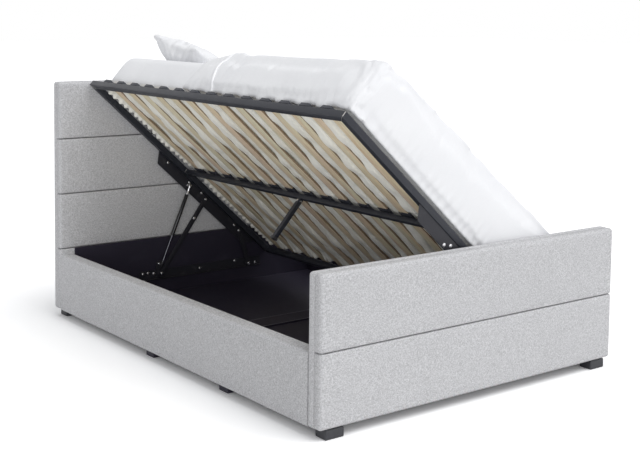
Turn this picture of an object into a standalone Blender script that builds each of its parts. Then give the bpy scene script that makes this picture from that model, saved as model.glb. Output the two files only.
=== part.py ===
"""Side-opening ottoman bed: an upholstered bed whose slatted deck lifts on two four-bar linkages.

The bed stands on the floor (+Z up) with its head towards +Y and its opening side towards -X.
The origin is on the floor, under the middle of the bed. All lengths are metres.
The deck is modelled raised, as it stands when the storage space is open.
"""

import math

import bmesh
import bpy
from mathutils import Matrix, Vector

# Whole bed
OVERALL_WIDTH = 1.500
OVERALL_LENGTH = 2.045
GROUND_GAP = 0.036
TOUCH = 0.0003
OVERRUN = 0.001
WELD = 0.00012
SEAM_GAP = 0.0012
UPHOLSTERY_EDGE = 0.007

# Headboard and footboard
HEADBOARD_HEIGHT = 1.097
HEADBOARD_THICKNESS = 0.069
HEADBOARD_PAD_THICKNESS = 0.033
HEADBOARD_LOWEST_SEAM = 0.323
HEADBOARD_PANEL_HEIGHT = 0.256
HEADBOARD_PANEL_COUNT = 3
FOOTBOARD_HEIGHT = 0.572
FOOTBOARD_THICKNESS = 0.073
FOOTBOARD_PAD_THICKNESS = 0.036
FOOTBOARD_SEAM = 0.302

# Side rails and the black boards that line the storage space
RAIL_HEIGHT = 0.2955
RAIL_THICKNESS = 0.070
RAIL_CAP_DEPTH = 0.025
RAIL_BOARD_THICKNESS = 0.018
RAIL_EDGE = 0.012
END_BOARD_THICKNESS = 0.006
END_BOARD_EDGE = 0.001

# Storage floor
FLOOR_TOP = 0.050
FLOOR_THICKNESS = 0.006
LEDGE_WIDTH = 0.020
LEDGE_HEIGHT = 0.0075
CROSS_SUPPORT_WIDTH = 0.120
CROSS_SUPPORT_FLANGE = 0.020
CROSS_SUPPORT_RISE = 0.006
SUPPORT_BAR_HEIGHT = 0.012
CROSS_SUPPORT_FIRST = 0.640
CROSS_SUPPORT_PITCH = 0.560
CROSS_SUPPORT_COUNT = 2

# Feet
CORNER_FOOT_WIDTH = 0.080
CORNER_FOOT_DEPTH = 0.060
CORNER_FOOT_SIDE_INSET = 0.030
CORNER_FOOT_END_INSET = 0.005
FOOT_CHAMFER = 0.003
MIDDLE_FOOT_WIDTH = 0.050
MIDDLE_FOOT_DEPTH = 0.060
MIDDLE_FOOT_INSET = 0.033

# Steel angles that hold the rails to the boards
CORNER_ANGLE_LEG = 0.040
CORNER_ANGLE_THICKNESS = 0.003
CORNER_ANGLE_HEIGHT = 0.110
CORNER_ANGLE_BASE = 0.090

# Deck frame, measured from its near edge (in), its top face (drop) and its ends
DECK_SIDE_CLEARANCE = 0.004
DECK_END_CLEARANCE = 0.005
DECK_BELOW_RAIL_TOP = 0.0065
DECK_TILT = math.radians(42.0)
TUBE_WIDTH = 0.030
TUBE_HEIGHT = 0.028
TUBE_EDGE = 0.002
MIDDLE_RAIL_WIDTH = 0.020
MIDDLE_RAIL_HEIGHT = 0.025
MIDDLE_RAIL_DROP = 0.003
LEG_SIZE = 0.020
LEG_FROM_FOOT_END = 0.906
LEG_CAP_HEIGHT = 0.012
LEG_CAP_WALL = 0.002
LEG_FLOOR_CLEARANCE = 0.002

# Slats and their holders
SLAT_COUNT = 14
SLAT_FIRST = 0.1176
SLAT_LAST = 0.1363
SLAT_WIDTH = 0.055
SLAT_THICKNESS = 0.009
SLAT_EDGE = 0.002
HOLDER_WIDTH = 0.060
HOLDER_DEPTH = 0.026
HOLDER_WALL = 0.002

# Lift linkage: main arm, rear arm and gas strut, alike at both ends of the deck. The shares are of the
# deck's width, and the base pivots are placed from the main one.
MAIN_PIVOT_SHARE = 0.63861
MAIN_PIVOT_DROP = 0.0474
MAIN_ARM_LENGTH = 0.4245
MAIN_ARM_LOW_ANGLE = math.radians(12.9)
MAIN_ARM_SWING = math.radians(41.1)
MAIN_ARM_WIDTH = 0.024
REAR_PIVOT_SHARE = 0.83765
REAR_PIVOT_DROP = 0.0462
REAR_BASE_AHEAD = 0.5136
REAR_BASE_DROP = 0.0107
REAR_ARM_WIDTH = 0.024
STRUT_PIVOT_SHARE = 0.54475
STRUT_PIVOT_DROP = 0.0554
STRUT_BASE_BEHIND = 0.0101
STRUT_BASE_RISE = 0.0473
STRUT_STROKE = 0.132

# Layers of the linkage, inwards from the face of the end board
BASE_ANGLE_THICKNESS = 0.003
PIVOT_PLATE_THICKNESS = 0.003
BRACKET_LAYER = 0.0085
BRACKET_THICKNESS = 0.003
ARM_LAYER = 0.0125
ARM_THICKNESS = 0.005
STRUT_LAYER = 0.033

# Pins, studs and bolts
PIN_RADIUS = 0.005
PIN_CLEARANCE = 0.0004
PIN_COLLAR_RADIUS = 0.009
PIN_HEAD_RADIUS = 0.0085
PIN_HEAD_HEIGHT = 0.003
PIN_SIDES = 14
BOLT_RADIUS = 0.0065
BOLT_HEIGHT = 0.0035
BOLT_SIDES = 10

# Steel angle on each end board, round the lower pivots
BASE_ANGLE_HEIGHT = 0.047
BASE_ANGLE_ABOVE_PIVOT = 0.018
BASE_ANGLE_FLANGE = 0.011
BASE_ANGLE_NEAR_END = 0.118
BASE_ANGLE_FAR_END = 0.078
PIVOT_PLATE_MARGIN = 0.015
PIVOT_PLATE_CORNER = 0.012

# Bracket under each end tube of the deck
BRACKET_NEAR_SHARE = 0.36612
BRACKET_FAR_MARGIN = 0.110
BRACKET_DEPTH = 0.052
BRACKET_NEAR_CUT = 0.036
BRACKET_FAR_CUT = 0.060
BRACKET_FLANGE_WIDTH = 0.022

# Gas strut
SOCKET_LENGTH = 0.045
SOCKET_RADIUS = 0.0065
SOCKET_NECK_RADIUS = 0.0045
STRUT_BODY_RADIUS = 0.009
STRUT_BODY_LENGTH = 0.212
STRUT_BODY_CAP = 0.010
STRUT_EDGE = 0.002
ROD_RADIUS = 0.004
ROD_CLEARANCE = 0.0005
ROD_GRIP = 0.030
ROD_END_LENGTH = 0.022
STUD_RADIUS = 0.004
STUD_COLLAR_RADIUS = 0.007
STRUT_SIDES = 14

# Mattress, duvet and pillows, measured in the deck's own directions
MATTRESS_SIDE_INSET = 0.034
MATTRESS_FOOT_INSET = 0.028
MATTRESS_HEAD_INSET = 0.040
MATTRESS_THICKNESS = 0.190
MATTRESS_EDGE = 0.085
MATTRESS_CROWN = 0.006
DUVET_SIDE_INSET = 0.006
DUVET_FOOT_INSET = 0.005
DUVET_HEAD_INSET = 0.6854
DUVET_LOFT = 0.074
DUVET_EDGE = 0.140
DUVET_HEM_EDGE = 0.012
DUVET_CROWN = 0.010
DUVET_LEAN = 0.024
DUVET_FOLD_DEPTH = 0.006
DUVET_FOLD_PITCH = 0.230
DUVET_FOLD_DROP = 0.050
PILLOW_LENGTH = 0.640
PILLOW_WIDTH = 0.500
PILLOW_THICKNESS = 0.150
PILLOW_DRAWN_IN = 0.030
PILLOW_EDGE = 0.060
PILLOW_HEAD_INSET = 0.105
PILLOW_GAP = 0.004
PILLOW_SEAT = 0.0116
PILLOW_TILT = math.radians(9.0)
BEDDING_CLEARANCE = 0.0014

# Bolt places as shares of the plate that they hold
BASE_BOLT_SHARES = ((0.03, 0.70), (0.07, 0.74), (0.115, 0.62), (0.487, 0.52), (0.78, 0.78), (0.957, 0.30))
BRACKET_BOLT_SHARES = ((0.105, 0.24), (0.320, 0.22), (0.445, 0.14), (0.800, 0.22))
CORNER_BOLT_SHARES = (0.22, 0.78)
MIDDLE_SHARE = 0.5

# The arm's middle rivet, as a share of its length from the lower pin
MAIN_ARM_RIVET_SHARE = 0.74

# A bolt head's crown as a share of its width
BOLT_CROWN_SHARE = 0.72

# A soft form's cage: its cuts as shares of its length and width, and how its sides fold
BLOCK_CUT_SHARES = (0.25, 0.50, 0.75)
DUVET_FOLD_FROM_SHARE = 0.62
PILLOW_SEAM_SHARE = 0.14
FOLD_POWER = 3

# Turns that stand a flat outline up in the XZ plane, or in the YZ plane
UPRIGHT = (math.pi / 2, 0, 0)
ALONG_X = (math.pi / 2, 0, math.pi / 2)

# Places worked out from the sizes above
HALF_WIDTH = OVERALL_WIDTH / 2
HALF_LENGTH = OVERALL_LENGTH / 2
BAY_HALF_WIDTH = HALF_WIDTH - RAIL_THICKNESS
FOOT_INNER_Y = FOOTBOARD_THICKNESS - HALF_LENGTH
HEAD_INNER_Y = HALF_LENGTH - HEADBOARD_THICKNESS
BAY_FOOT_Y = FOOT_INNER_Y + TOUCH + END_BOARD_THICKNESS
BAY_HEAD_Y = HEAD_INNER_Y - TOUCH - END_BOARD_THICKNESS
DECK_WIDTH = 2 * (BAY_HALF_WIDTH - DECK_SIDE_CLEARANCE)
DECK_FOOT_Y = BAY_FOOT_Y + DECK_END_CLEARANCE
DECK_HEAD_Y = BAY_HEAD_Y - DECK_END_CLEARANCE
DECK_LENGTH = DECK_HEAD_Y - DECK_FOOT_Y
DECK_LOW_TOP = RAIL_HEIGHT - DECK_BELOW_RAIL_TOP
FLOOR_BOTTOM = FLOOR_TOP - FLOOR_THICKNESS
LEDGE_TOP = FLOOR_BOTTOM - TOUCH
HOLDER_HEIGHT = 2 * HOLDER_WALL + SLAT_THICKNESS
SLAT_PITCH = (DECK_LENGTH - SLAT_FIRST - SLAT_LAST) / (SLAT_COUNT - 1)
MATTRESS_BASE = TOUCH + HOLDER_HEIGHT + TOUCH
MATTRESS_TOP = MATTRESS_BASE + MATTRESS_THICKNESS
DUVET_LENGTH = DECK_LENGTH - DUVET_FOOT_INSET - DUVET_HEAD_INSET
MAIN_PIVOT_IN = MAIN_PIVOT_SHARE * DECK_WIDTH
REAR_PIVOT_IN = REAR_PIVOT_SHARE * DECK_WIDTH
STRUT_PIVOT_IN = STRUT_PIVOT_SHARE * DECK_WIDTH
BRACKET_NEAR_END = BRACKET_NEAR_SHARE * DECK_WIDTH

MAIN_ARM_ANGLE = MAIN_ARM_LOW_ANGLE + MAIN_ARM_SWING
MAIN_BASE_PIVOT = Vector((
    -DECK_WIDTH / 2 + MAIN_PIVOT_IN - MAIN_ARM_LENGTH * math.cos(MAIN_ARM_LOW_ANGLE),
    0,
    DECK_LOW_TOP - MAIN_PIVOT_DROP - MAIN_ARM_LENGTH * math.sin(MAIN_ARM_LOW_ANGLE),
))


def direction(angle):
    """Unit vector in the XZ plane at an angle above +X."""
    return Vector((math.cos(angle), 0, math.sin(angle)))


def span(low, high):
    """Length and angle of the line from one pivot up to another."""
    line = high - low
    return line.length, math.atan2(line.z, line.x)


def deck_local(distance_in, drop, y=0):
    """A place on the deck, in the frame whose origin is on the main pivots' axis."""
    return Vector((distance_in - MAIN_PIVOT_IN, y, MAIN_PIVOT_DROP - drop))


def deck_world(distance_in, drop, y=0):
    """The same place in the bed's frame, with the deck raised."""
    return MAIN_DECK_PIVOT + Matrix.Rotation(DECK_TILT, 3, "Y") @ deck_local(distance_in, drop, y)


MAIN_DECK_PIVOT = MAIN_BASE_PIVOT + MAIN_ARM_LENGTH * direction(MAIN_ARM_ANGLE)
REAR_DECK_PIVOT = deck_world(REAR_PIVOT_IN, REAR_PIVOT_DROP)
REAR_BASE_PIVOT = MAIN_BASE_PIVOT + Vector((REAR_BASE_AHEAD, 0, -REAR_BASE_DROP))
REAR_ARM_LENGTH, REAR_ARM_ANGLE = span(REAR_BASE_PIVOT, REAR_DECK_PIVOT)
STRUT_DECK_PIVOT = deck_world(STRUT_PIVOT_IN, STRUT_PIVOT_DROP)
STRUT_BASE_PIVOT = MAIN_BASE_PIVOT + Vector((-STRUT_BASE_BEHIND, 0, STRUT_BASE_RISE))
STRUT_LENGTH, STRUT_ANGLE = span(STRUT_BASE_PIVOT, STRUT_DECK_PIVOT)
ENDS = {"head": (BAY_HEAD_Y, -1), "foot": (BAY_FOOT_Y, 1)}


def layer_y(end, depth):
    """Y of a layer that lies at a depth inwards from the end board's face."""
    face, inwards = ENDS[end]
    return face + inwards * depth


def clear_scene():
    for item in list(bpy.data.objects):
        bpy.data.objects.remove(item, do_unlink=True)


def new_collection(name):
    collection = bpy.data.collections.new(name)
    bpy.context.scene.collection.children.link(collection)
    return collection


def make_material(name, colour, roughness, metallic=0.0):
    """A Principled material with one colour."""
    material = bpy.data.materials.new(name)
    material.use_nodes = True
    shader = material.node_tree.nodes["Principled BSDF"]
    shader.inputs["Base Color"].default_value = (*colour, 1.0)
    shader.inputs["Roughness"].default_value = roughness
    shader.inputs["Metallic"].default_value = metallic
    material.diffuse_color = (*colour, 1.0)
    return material


def add_object(name, mesh, material, parent=None, location=(0, 0, 0), rotation=(0, 0, 0)):
    """Link a mesh as a named sub-part of the bed."""
    item = bpy.data.objects.new(name, mesh)
    mesh.materials.clear()
    mesh.materials.append(material)
    item.location = location
    item.rotation_euler = rotation
    item.parent = parent
    BED.objects.link(item)
    return item


def add_bevel(item, width, segments=2):
    bevel = item.modifiers.new("Edges", "BEVEL")
    bevel.width = width
    bevel.segments = segments
    bevel.limit_method = "ANGLE"
    return bevel


def smooth(item, angle=math.radians(40)):
    item.data.shade_smooth()
    item.data.set_sharp_from_angle(angle=angle)


def add_cube(shape, low, high):
    """Add a box between two corners to a bmesh and return its vertices."""
    low, high = Vector(low), Vector(high)
    place = Matrix.Translation((low + high) / 2) @ Matrix.Diagonal((*(high - low), 1))
    return bmesh.ops.create_cube(shape, size=1, matrix=place)["verts"]


def boxes(name, corners, material, parent=None, edge=0.0, segments=2):
    """One node made of boxes, each given by its low and high corners."""
    origin = (Vector(corners[0][0]) + Vector(corners[0][1])) / 2
    shape = bmesh.new()
    for low, high in corners:
        add_cube(shape, Vector(low) - origin, Vector(high) - origin)
    mesh = bpy.data.meshes.new(name)
    shape.to_mesh(mesh)
    shape.free()
    item = add_object(name, mesh, material, parent, origin)
    if edge:
        add_bevel(item, edge, segments)
    return item


def box(name, low, high, material, parent=None, edge=0.0, segments=2):
    return boxes(name, [(low, high)], material, parent, edge, segments)


def circle(centre, radius, sides):
    """Points round a circle in an outline's plane."""
    turns = [2 * math.pi * step / sides for step in range(sides)]
    return [(centre[0] + radius * math.cos(turn), centre[1] + radius * math.sin(turn)) for turn in turns]


def stadium(length, width, sides):
    """A bar's outline with round ends about (0, 0) and (length, 0)."""
    half = sides // 2
    turns = [math.pi * step / half for step in range(half + 1)]
    far = [(length + width / 2 * math.sin(turn), -width / 2 * math.cos(turn)) for turn in turns]
    near = [(-width / 2 * math.sin(turn), width / 2 * math.cos(turn)) for turn in turns]
    return far + near


def rounded(corners, steps=3):
    """An outline whose corners (x, y, radius) are rounded by arcs."""
    points = []
    for index, (x, y, radius) in enumerate(corners):
        corner = Vector((x, y))
        before = (Vector(corners[index - 1][:2]) - corner).normalized()
        after = (Vector(corners[(index + 1) % len(corners)][:2]) - corner).normalized()
        if not radius:
            points.append(tuple(corner))
            continue
        half_angle = before.angle(after) / 2
        centre = corner + (before + after).normalized() * (radius / math.sin(half_angle))
        start = corner + before * (radius / math.tan(half_angle)) - centre
        sweep = start.angle_signed(corner + after * (radius / math.tan(half_angle)) - centre)
        for step in range(steps + 1):
            spoke = Matrix.Rotation(-sweep * step / steps, 2) @ start
            points.append(tuple(centre + spoke))
    return points


def plate_mesh(name, outlines, thickness):
    """A flat outline with holes, as thick as asked, about its own middle plane."""
    curve = bpy.data.curves.new(name, "CURVE")
    curve.dimensions = "2D"
    curve.fill_mode = "BOTH"
    curve.extrude = thickness / 2
    for outline in outlines:
        spline = curve.splines.new("POLY")
        spline.points.add(len(outline) - 1)
        for point, (x, y) in zip(spline.points, outline):
            point.co = (x, y, 0, 1)
        spline.use_cyclic_u = True
    item = bpy.data.objects.new(name, curve)
    bpy.context.scene.collection.objects.link(item)
    evaluated = item.evaluated_get(bpy.context.evaluated_depsgraph_get())
    mesh = bpy.data.meshes.new_from_object(evaluated)
    bpy.data.objects.remove(item, do_unlink=True)
    shape = bmesh.new()
    shape.from_mesh(mesh)
    bmesh.ops.remove_doubles(shape, verts=shape.verts, dist=TOUCH / 10)
    bmesh.ops.recalc_face_normals(shape, faces=shape.faces)
    shape.to_mesh(mesh)
    shape.free()
    return mesh


def upright_plate(name, outlines, thickness, location, material, parent=None, angle=0.0):
    """A plate in the XZ plane, turned by an angle above +X about its origin."""
    mesh = plate_mesh(name, outlines, thickness)
    mesh.transform(Matrix.Rotation(angle, 4, "Z"))
    return add_object(name, mesh, material, parent, location, UPRIGHT)


def turned(name, profile, sides, material, parent=None, location=(0, 0, 0), rotation=(0, 0, 0)):
    """A solid of revolution about local Z, from a profile of (radius, height) points."""
    downwards = profile if profile[0][1] > profile[-1][1] else profile[::-1]
    shape = bmesh.new()
    points = [shape.verts.new((radius, 0, height)) for radius, height in downwards]
    for first, second in zip(points, points[1:]):
        shape.edges.new((first, second))
    mesh = bpy.data.meshes.new(name)
    shape.to_mesh(mesh)
    shape.free()
    item = add_object(name, mesh, material, parent, location, rotation)
    screw = item.modifiers.new("Turn", "SCREW")
    screw.axis = "Z"
    screw.angle = 2 * math.pi
    screw.steps = sides
    screw.render_steps = sides
    screw.use_merge_vertices = True
    screw.merge_threshold = TOUCH / 10
    screw.use_smooth_shade = True
    return item


def stepped(*levels):
    """A turned profile from top to bottom through (radius, height) levels, closed on the axis."""
    return [(0, levels[0][1]), *levels, (0, levels[-1][1])]


def welded(item):
    """The item's finished mesh, with corners that nearly meet made one."""
    depsgraph = bpy.context.evaluated_depsgraph_get()
    mesh = bpy.data.meshes.new_from_object(item.evaluated_get(depsgraph))
    shape = bmesh.new()
    shape.from_mesh(mesh)
    bmesh.ops.remove_doubles(shape, verts=shape.verts, dist=WELD)
    bmesh.ops.dissolve_degenerate(shape, dist=WELD, edges=shape.edges)
    bmesh.ops.triangulate(shape, faces=shape.faces, quad_method="BEAUTY", ngon_method="BEAUTY")
    shape.to_mesh(mesh)
    shape.free()
    return mesh


def united(name, pieces):
    """One solid made of shapes that run into each other, placed and coloured as the first."""
    bpy.context.view_layer.update()
    first, *others = pieces
    group = bpy.data.collections.new(f"{name}_pieces")
    bpy.context.scene.collection.children.link(group)
    for item in others:
        BED.objects.unlink(item)
        group.objects.link(item)
    union = first.modifiers.new("Union", "BOOLEAN")
    union.operation = "UNION"
    union.operand_type = "COLLECTION"
    union.collection = group
    mesh = welded(first)
    material = first.data.materials[0]
    parent = first.parent
    place = first.matrix_local.copy()
    for item in pieces:
        bpy.data.objects.remove(item, do_unlink=True)
    bpy.data.collections.remove(group)
    node = add_object(name, mesh, material, parent)
    node.matrix_local = place
    smooth(node)
    return node


def bolt_heads(places, axis, material, parent=None):
    """Low round bolt heads, each sunk a little into the face that it stands on."""
    turn = Vector((0, 0, 1)).rotation_difference(Vector(axis)).to_matrix().to_4x4()
    shape = bmesh.new()
    for place in places:
        centre = Vector(place) + Vector(axis) * ((BOLT_HEIGHT - OVERRUN) / 2)
        bmesh.ops.create_cone(
            shape, cap_ends=True, segments=BOLT_SIDES, radius1=BOLT_RADIUS,
            radius2=BOLT_RADIUS * BOLT_CROWN_SHARE, depth=BOLT_HEIGHT + OVERRUN,
            matrix=Matrix.Translation(centre) @ turn,
        )
    mesh = bpy.data.meshes.new("bolt_heads")
    shape.to_mesh(mesh)
    shape.free()
    return add_object("bolt_heads", mesh, material, parent)


def layered_pin(end, steps, place, parent=None):
    """A turned pin about the Y axis from (radius, depth) steps, depths taken from the end board's face."""
    face, inwards = ENDS[end]
    profile = stepped(*[(radius, -(face + inwards * depth)) for radius, depth in steps])
    return turned("pin", profile, PIN_SIDES, ZINC, parent, place, UPRIGHT)


def arm_pin(end, start, place, parent=None):
    """A collar under an arm, a shaft through its hole and a head over it."""
    inner = ARM_LAYER + ARM_THICKNESS + TOUCH
    steps = [
        (PIN_COLLAR_RADIUS, start), (PIN_COLLAR_RADIUS, ARM_LAYER - TOUCH), (PIN_RADIUS, ARM_LAYER - TOUCH),
        (PIN_RADIUS, inner), (PIN_HEAD_RADIUS, inner), (PIN_HEAD_RADIUS, inner + PIN_HEAD_HEIGHT),
    ]
    return layered_pin(end, steps, place, parent)


def strut_stud(end, start, place, parent=None):
    """A stud from a plate to the side of a gas strut's end."""
    collar = start + PIN_HEAD_HEIGHT
    tip = STRUT_LAYER - SOCKET_RADIUS - TOUCH
    steps = [(STUD_COLLAR_RADIUS, start), (STUD_COLLAR_RADIUS, collar),
             (STUD_RADIUS, collar), (STUD_RADIUS, tip)]
    return layered_pin(end, steps, place, parent)


def build_headboard():
    """A tall core with a plain lower pad and three upholstered panels on its front."""
    front = HEAD_INNER_Y
    back = front + HEADBOARD_PAD_THICKNESS
    box("headboard_core", (-HALF_WIDTH, back + TOUCH, GROUND_GAP),
        (HALF_WIDTH, HALF_LENGTH, HEADBOARD_HEIGHT), FABRIC, edge=UPHOLSTERY_EDGE, segments=3)
    base = HEADBOARD_LOWEST_SEAM
    box("headboard_lower_pad", (-HALF_WIDTH, front, GROUND_GAP),
        (HALF_WIDTH, back, base - SEAM_GAP), FABRIC, edge=UPHOLSTERY_EDGE)
    for number in range(1, HEADBOARD_PANEL_COUNT + 1):
        last = number == HEADBOARD_PANEL_COUNT
        top = HEADBOARD_HEIGHT if last else base + HEADBOARD_PANEL_HEIGHT - SEAM_GAP
        box(f"headboard_panel_{number}", (-HALF_WIDTH, front, base), (HALF_WIDTH, back, top),
            FABRIC, edge=UPHOLSTERY_EDGE, segments=3)
        base = top + SEAM_GAP


def build_footboard():
    """A low core with two upholstered pads on the front, parted by one seam."""
    front = -HALF_LENGTH
    back = front + FOOTBOARD_PAD_THICKNESS
    box("footboard_core", (-HALF_WIDTH, back + TOUCH, GROUND_GAP),
        (HALF_WIDTH, FOOT_INNER_Y, FOOTBOARD_HEIGHT), FABRIC, edge=UPHOLSTERY_EDGE, segments=3)
    box("footboard_lower_pad", (-HALF_WIDTH, front, GROUND_GAP),
        (HALF_WIDTH, back, FOOTBOARD_SEAM - SEAM_GAP), FABRIC, edge=UPHOLSTERY_EDGE, segments=3)
    box("footboard_upper_pad", (-HALF_WIDTH, front, FOOTBOARD_SEAM),
        (HALF_WIDTH, back, FOOTBOARD_HEIGHT), FABRIC, edge=UPHOLSTERY_EDGE, segments=3)


def build_rails():
    """Side rails: a black inner board with a ledge, under an upholstered cover that caps it."""
    low, high = FOOT_INNER_Y + TOUCH, HEAD_INNER_Y - TOUCH
    inner = BAY_HALF_WIDTH
    outer = inner + RAIL_BOARD_THICKNESS
    shoulder = RAIL_HEIGHT - RAIL_CAP_DEPTH
    corners = [
        (HALF_WIDTH, GROUND_GAP, UPHOLSTERY_EDGE),
        (HALF_WIDTH, RAIL_HEIGHT, RAIL_EDGE),
        (inner, RAIL_HEIGHT, RAIL_EDGE),
        (inner, shoulder, 0),
        (outer + TOUCH, shoulder, 0),
        (outer + TOUCH, GROUND_GAP, 0),
    ]
    outline = rounded(corners)
    middle = (low + high) / 2
    for side, sign in (("near", -1), ("far", 1)):
        mirrored = [(sign * x, z) for x, z in outline]
        upright_plate(f"{side}_rail_cover", [mirrored], high - low, (0, middle, 0), FABRIC)
        x_low, x_high = sorted((sign * inner, sign * outer))
        board = box("board", (x_low, low, GROUND_GAP), (x_high, high, shoulder - TOUCH), BLACK_BOARD)
        x_low, x_high = sorted((sign * (inner - LEDGE_WIDTH), sign * (inner + OVERRUN)))
        ledge = box("ledge", (x_low, BAY_FOOT_Y + TOUCH, LEDGE_TOP - LEDGE_HEIGHT),
                    (x_high, BAY_HEAD_Y - TOUCH, LEDGE_TOP), BLACK_BOARD)
        united(f"{side}_rail_board", [board, ledge])


def build_end_boards():
    """Thin black boards that close the storage space at the head and the foot."""
    half = BAY_HALF_WIDTH - TOUCH
    box("head_end_board", (-half, BAY_HEAD_Y, GROUND_GAP),
        (half, BAY_HEAD_Y + END_BOARD_THICKNESS, HEADBOARD_LOWEST_SEAM), BLACK_BOARD, edge=END_BOARD_EDGE,
        segments=1)
    box("foot_end_board", (-half, BAY_FOOT_Y - END_BOARD_THICKNESS, GROUND_GAP),
        (half, BAY_FOOT_Y, RAIL_HEIGHT), BLACK_BOARD, edge=END_BOARD_EDGE, segments=1)


def support_centres():
    """Y of each cross support under the storage floor."""
    first = CROSS_SUPPORT_FIRST - HALF_LENGTH
    return [first + CROSS_SUPPORT_PITCH * number for number in range(CROSS_SUPPORT_COUNT)]


def floor_bays():
    """Y limits of each floor board, between the end boards and the cross supports."""
    edges = [BAY_FOOT_Y]
    for centre in support_centres():
        edges += [centre - CROSS_SUPPORT_WIDTH / 2, centre + CROSS_SUPPORT_WIDTH / 2]
    edges.append(BAY_HEAD_Y)
    return [(low + TOUCH, high - TOUCH) for low, high in zip(edges[::2], edges[1::2])]


def build_floor():
    """Black floor boards that lie on the rails' ledges and on the cross supports."""
    half = BAY_HALF_WIDTH - 2 * TOUCH
    for number, (low, high) in enumerate(floor_bays(), start=1):
        box(f"floor_board_{number}", (-half, low, FLOOR_BOTTOM), (half, high, FLOOR_TOP), BLACK_BOARD)


def build_cross_supports():
    """Supports across the bed, each with a flange for the boards, a bar under the rails and three feet."""
    body = CROSS_SUPPORT_WIDTH / 2
    flange = body + CROSS_SUPPORT_FLANGE
    ground = GROUND_GAP - TOUCH
    top = FLOOR_TOP + CROSS_SUPPORT_RISE
    base = ground - OVERRUN
    outline = [(-flange, base), (flange, base), (flange, LEDGE_TOP), (body, LEDGE_TOP),
               (body, top), (-body, top), (-body, LEDGE_TOP), (-flange, LEDGE_TOP)]
    reach = BAY_HALF_WIDTH - LEDGE_WIDTH - TOUCH
    bar_end = HALF_WIDTH - MIDDLE_FOOT_INSET
    foot_middle = bar_end - MIDDLE_FOOT_WIDTH / 2
    half_depth = MIDDLE_FOOT_DEPTH / 2
    for number, centre in enumerate(support_centres(), start=1):
        section = add_object("section", plate_mesh("section", [outline], 2 * reach), BLACK_BOARD,
                             None, (0, centre, 0), ALONG_X)
        bar = box("bar", (-bar_end, centre - half_depth, ground - SUPPORT_BAR_HEIGHT),
                  (bar_end, centre + half_depth, ground), BLACK_BOARD)
        feet = boxes("feet", [
            ((x - MIDDLE_FOOT_WIDTH / 2, centre - half_depth, 0),
             (x + MIDDLE_FOOT_WIDTH / 2, centre + half_depth, ground - SUPPORT_BAR_HEIGHT + OVERRUN))
            for x in (-foot_middle, 0, foot_middle)
        ], BLACK_BOARD)
        united(f"cross_support_{number}", [bar, section, feet])


def build_corner_feet():
    """Low block feet under the headboard and the footboard."""
    outer = HALF_WIDTH - CORNER_FOOT_SIDE_INSET
    end = HALF_LENGTH - CORNER_FOOT_END_INSET
    for end_name, y_sign in (("foot", -1), ("head", 1)):
        for side, x_sign in (("near", -1), ("far", 1)):
            x_low, x_high = sorted((x_sign * outer, x_sign * (outer - CORNER_FOOT_WIDTH)))
            y_low, y_high = sorted((y_sign * end, y_sign * (end - CORNER_FOOT_DEPTH)))
            box(f"{side}_{end_name}_corner_foot", (x_low, y_low, 0), (x_high, y_high, GROUND_GAP - TOUCH),
                FOOT_PLASTIC, edge=FOOT_CHAMFER, segments=1)


def build_corner_angles():
    """Steel angles in the four inner corners, with the heads of their bolts."""
    leg, wall = CORNER_ANGLE_LEG, CORNER_ANGLE_THICKNESS
    outline = [(0, 0), (leg, 0), (leg, wall), (wall, wall), (wall, leg), (0, leg)]
    bolt_in = (leg + wall) / 2
    for side, x_sign in (("near", -1), ("far", 1)):
        for end, (face, inwards) in ENDS.items():
            corner = [(-x_sign * x, inwards * y) for x, y in outline]
            place = Vector((x_sign * (BAY_HALF_WIDTH - TOUCH), face + inwards * TOUCH,
                            CORNER_ANGLE_BASE + CORNER_ANGLE_HEIGHT / 2))
            mesh = plate_mesh("angle", [corner], CORNER_ANGLE_HEIGHT)
            angle = add_object("angle", mesh, STEEL, None, place)
            heights = [CORNER_ANGLE_HEIGHT * (share - MIDDLE_SHARE) for share in CORNER_BOLT_SHARES]
            on_end = bolt_heads([place + Vector((-x_sign * bolt_in, inwards * wall, z)) for z in heights],
                                (0, inwards, 0), STEEL)
            on_rail = bolt_heads([place + Vector((-x_sign * wall, inwards * bolt_in, z)) for z in heights],
                                 (-x_sign, 0, 0), STEEL)
            united(f"{side}_{end}_corner_angle", [angle, on_end, on_rail])


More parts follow.
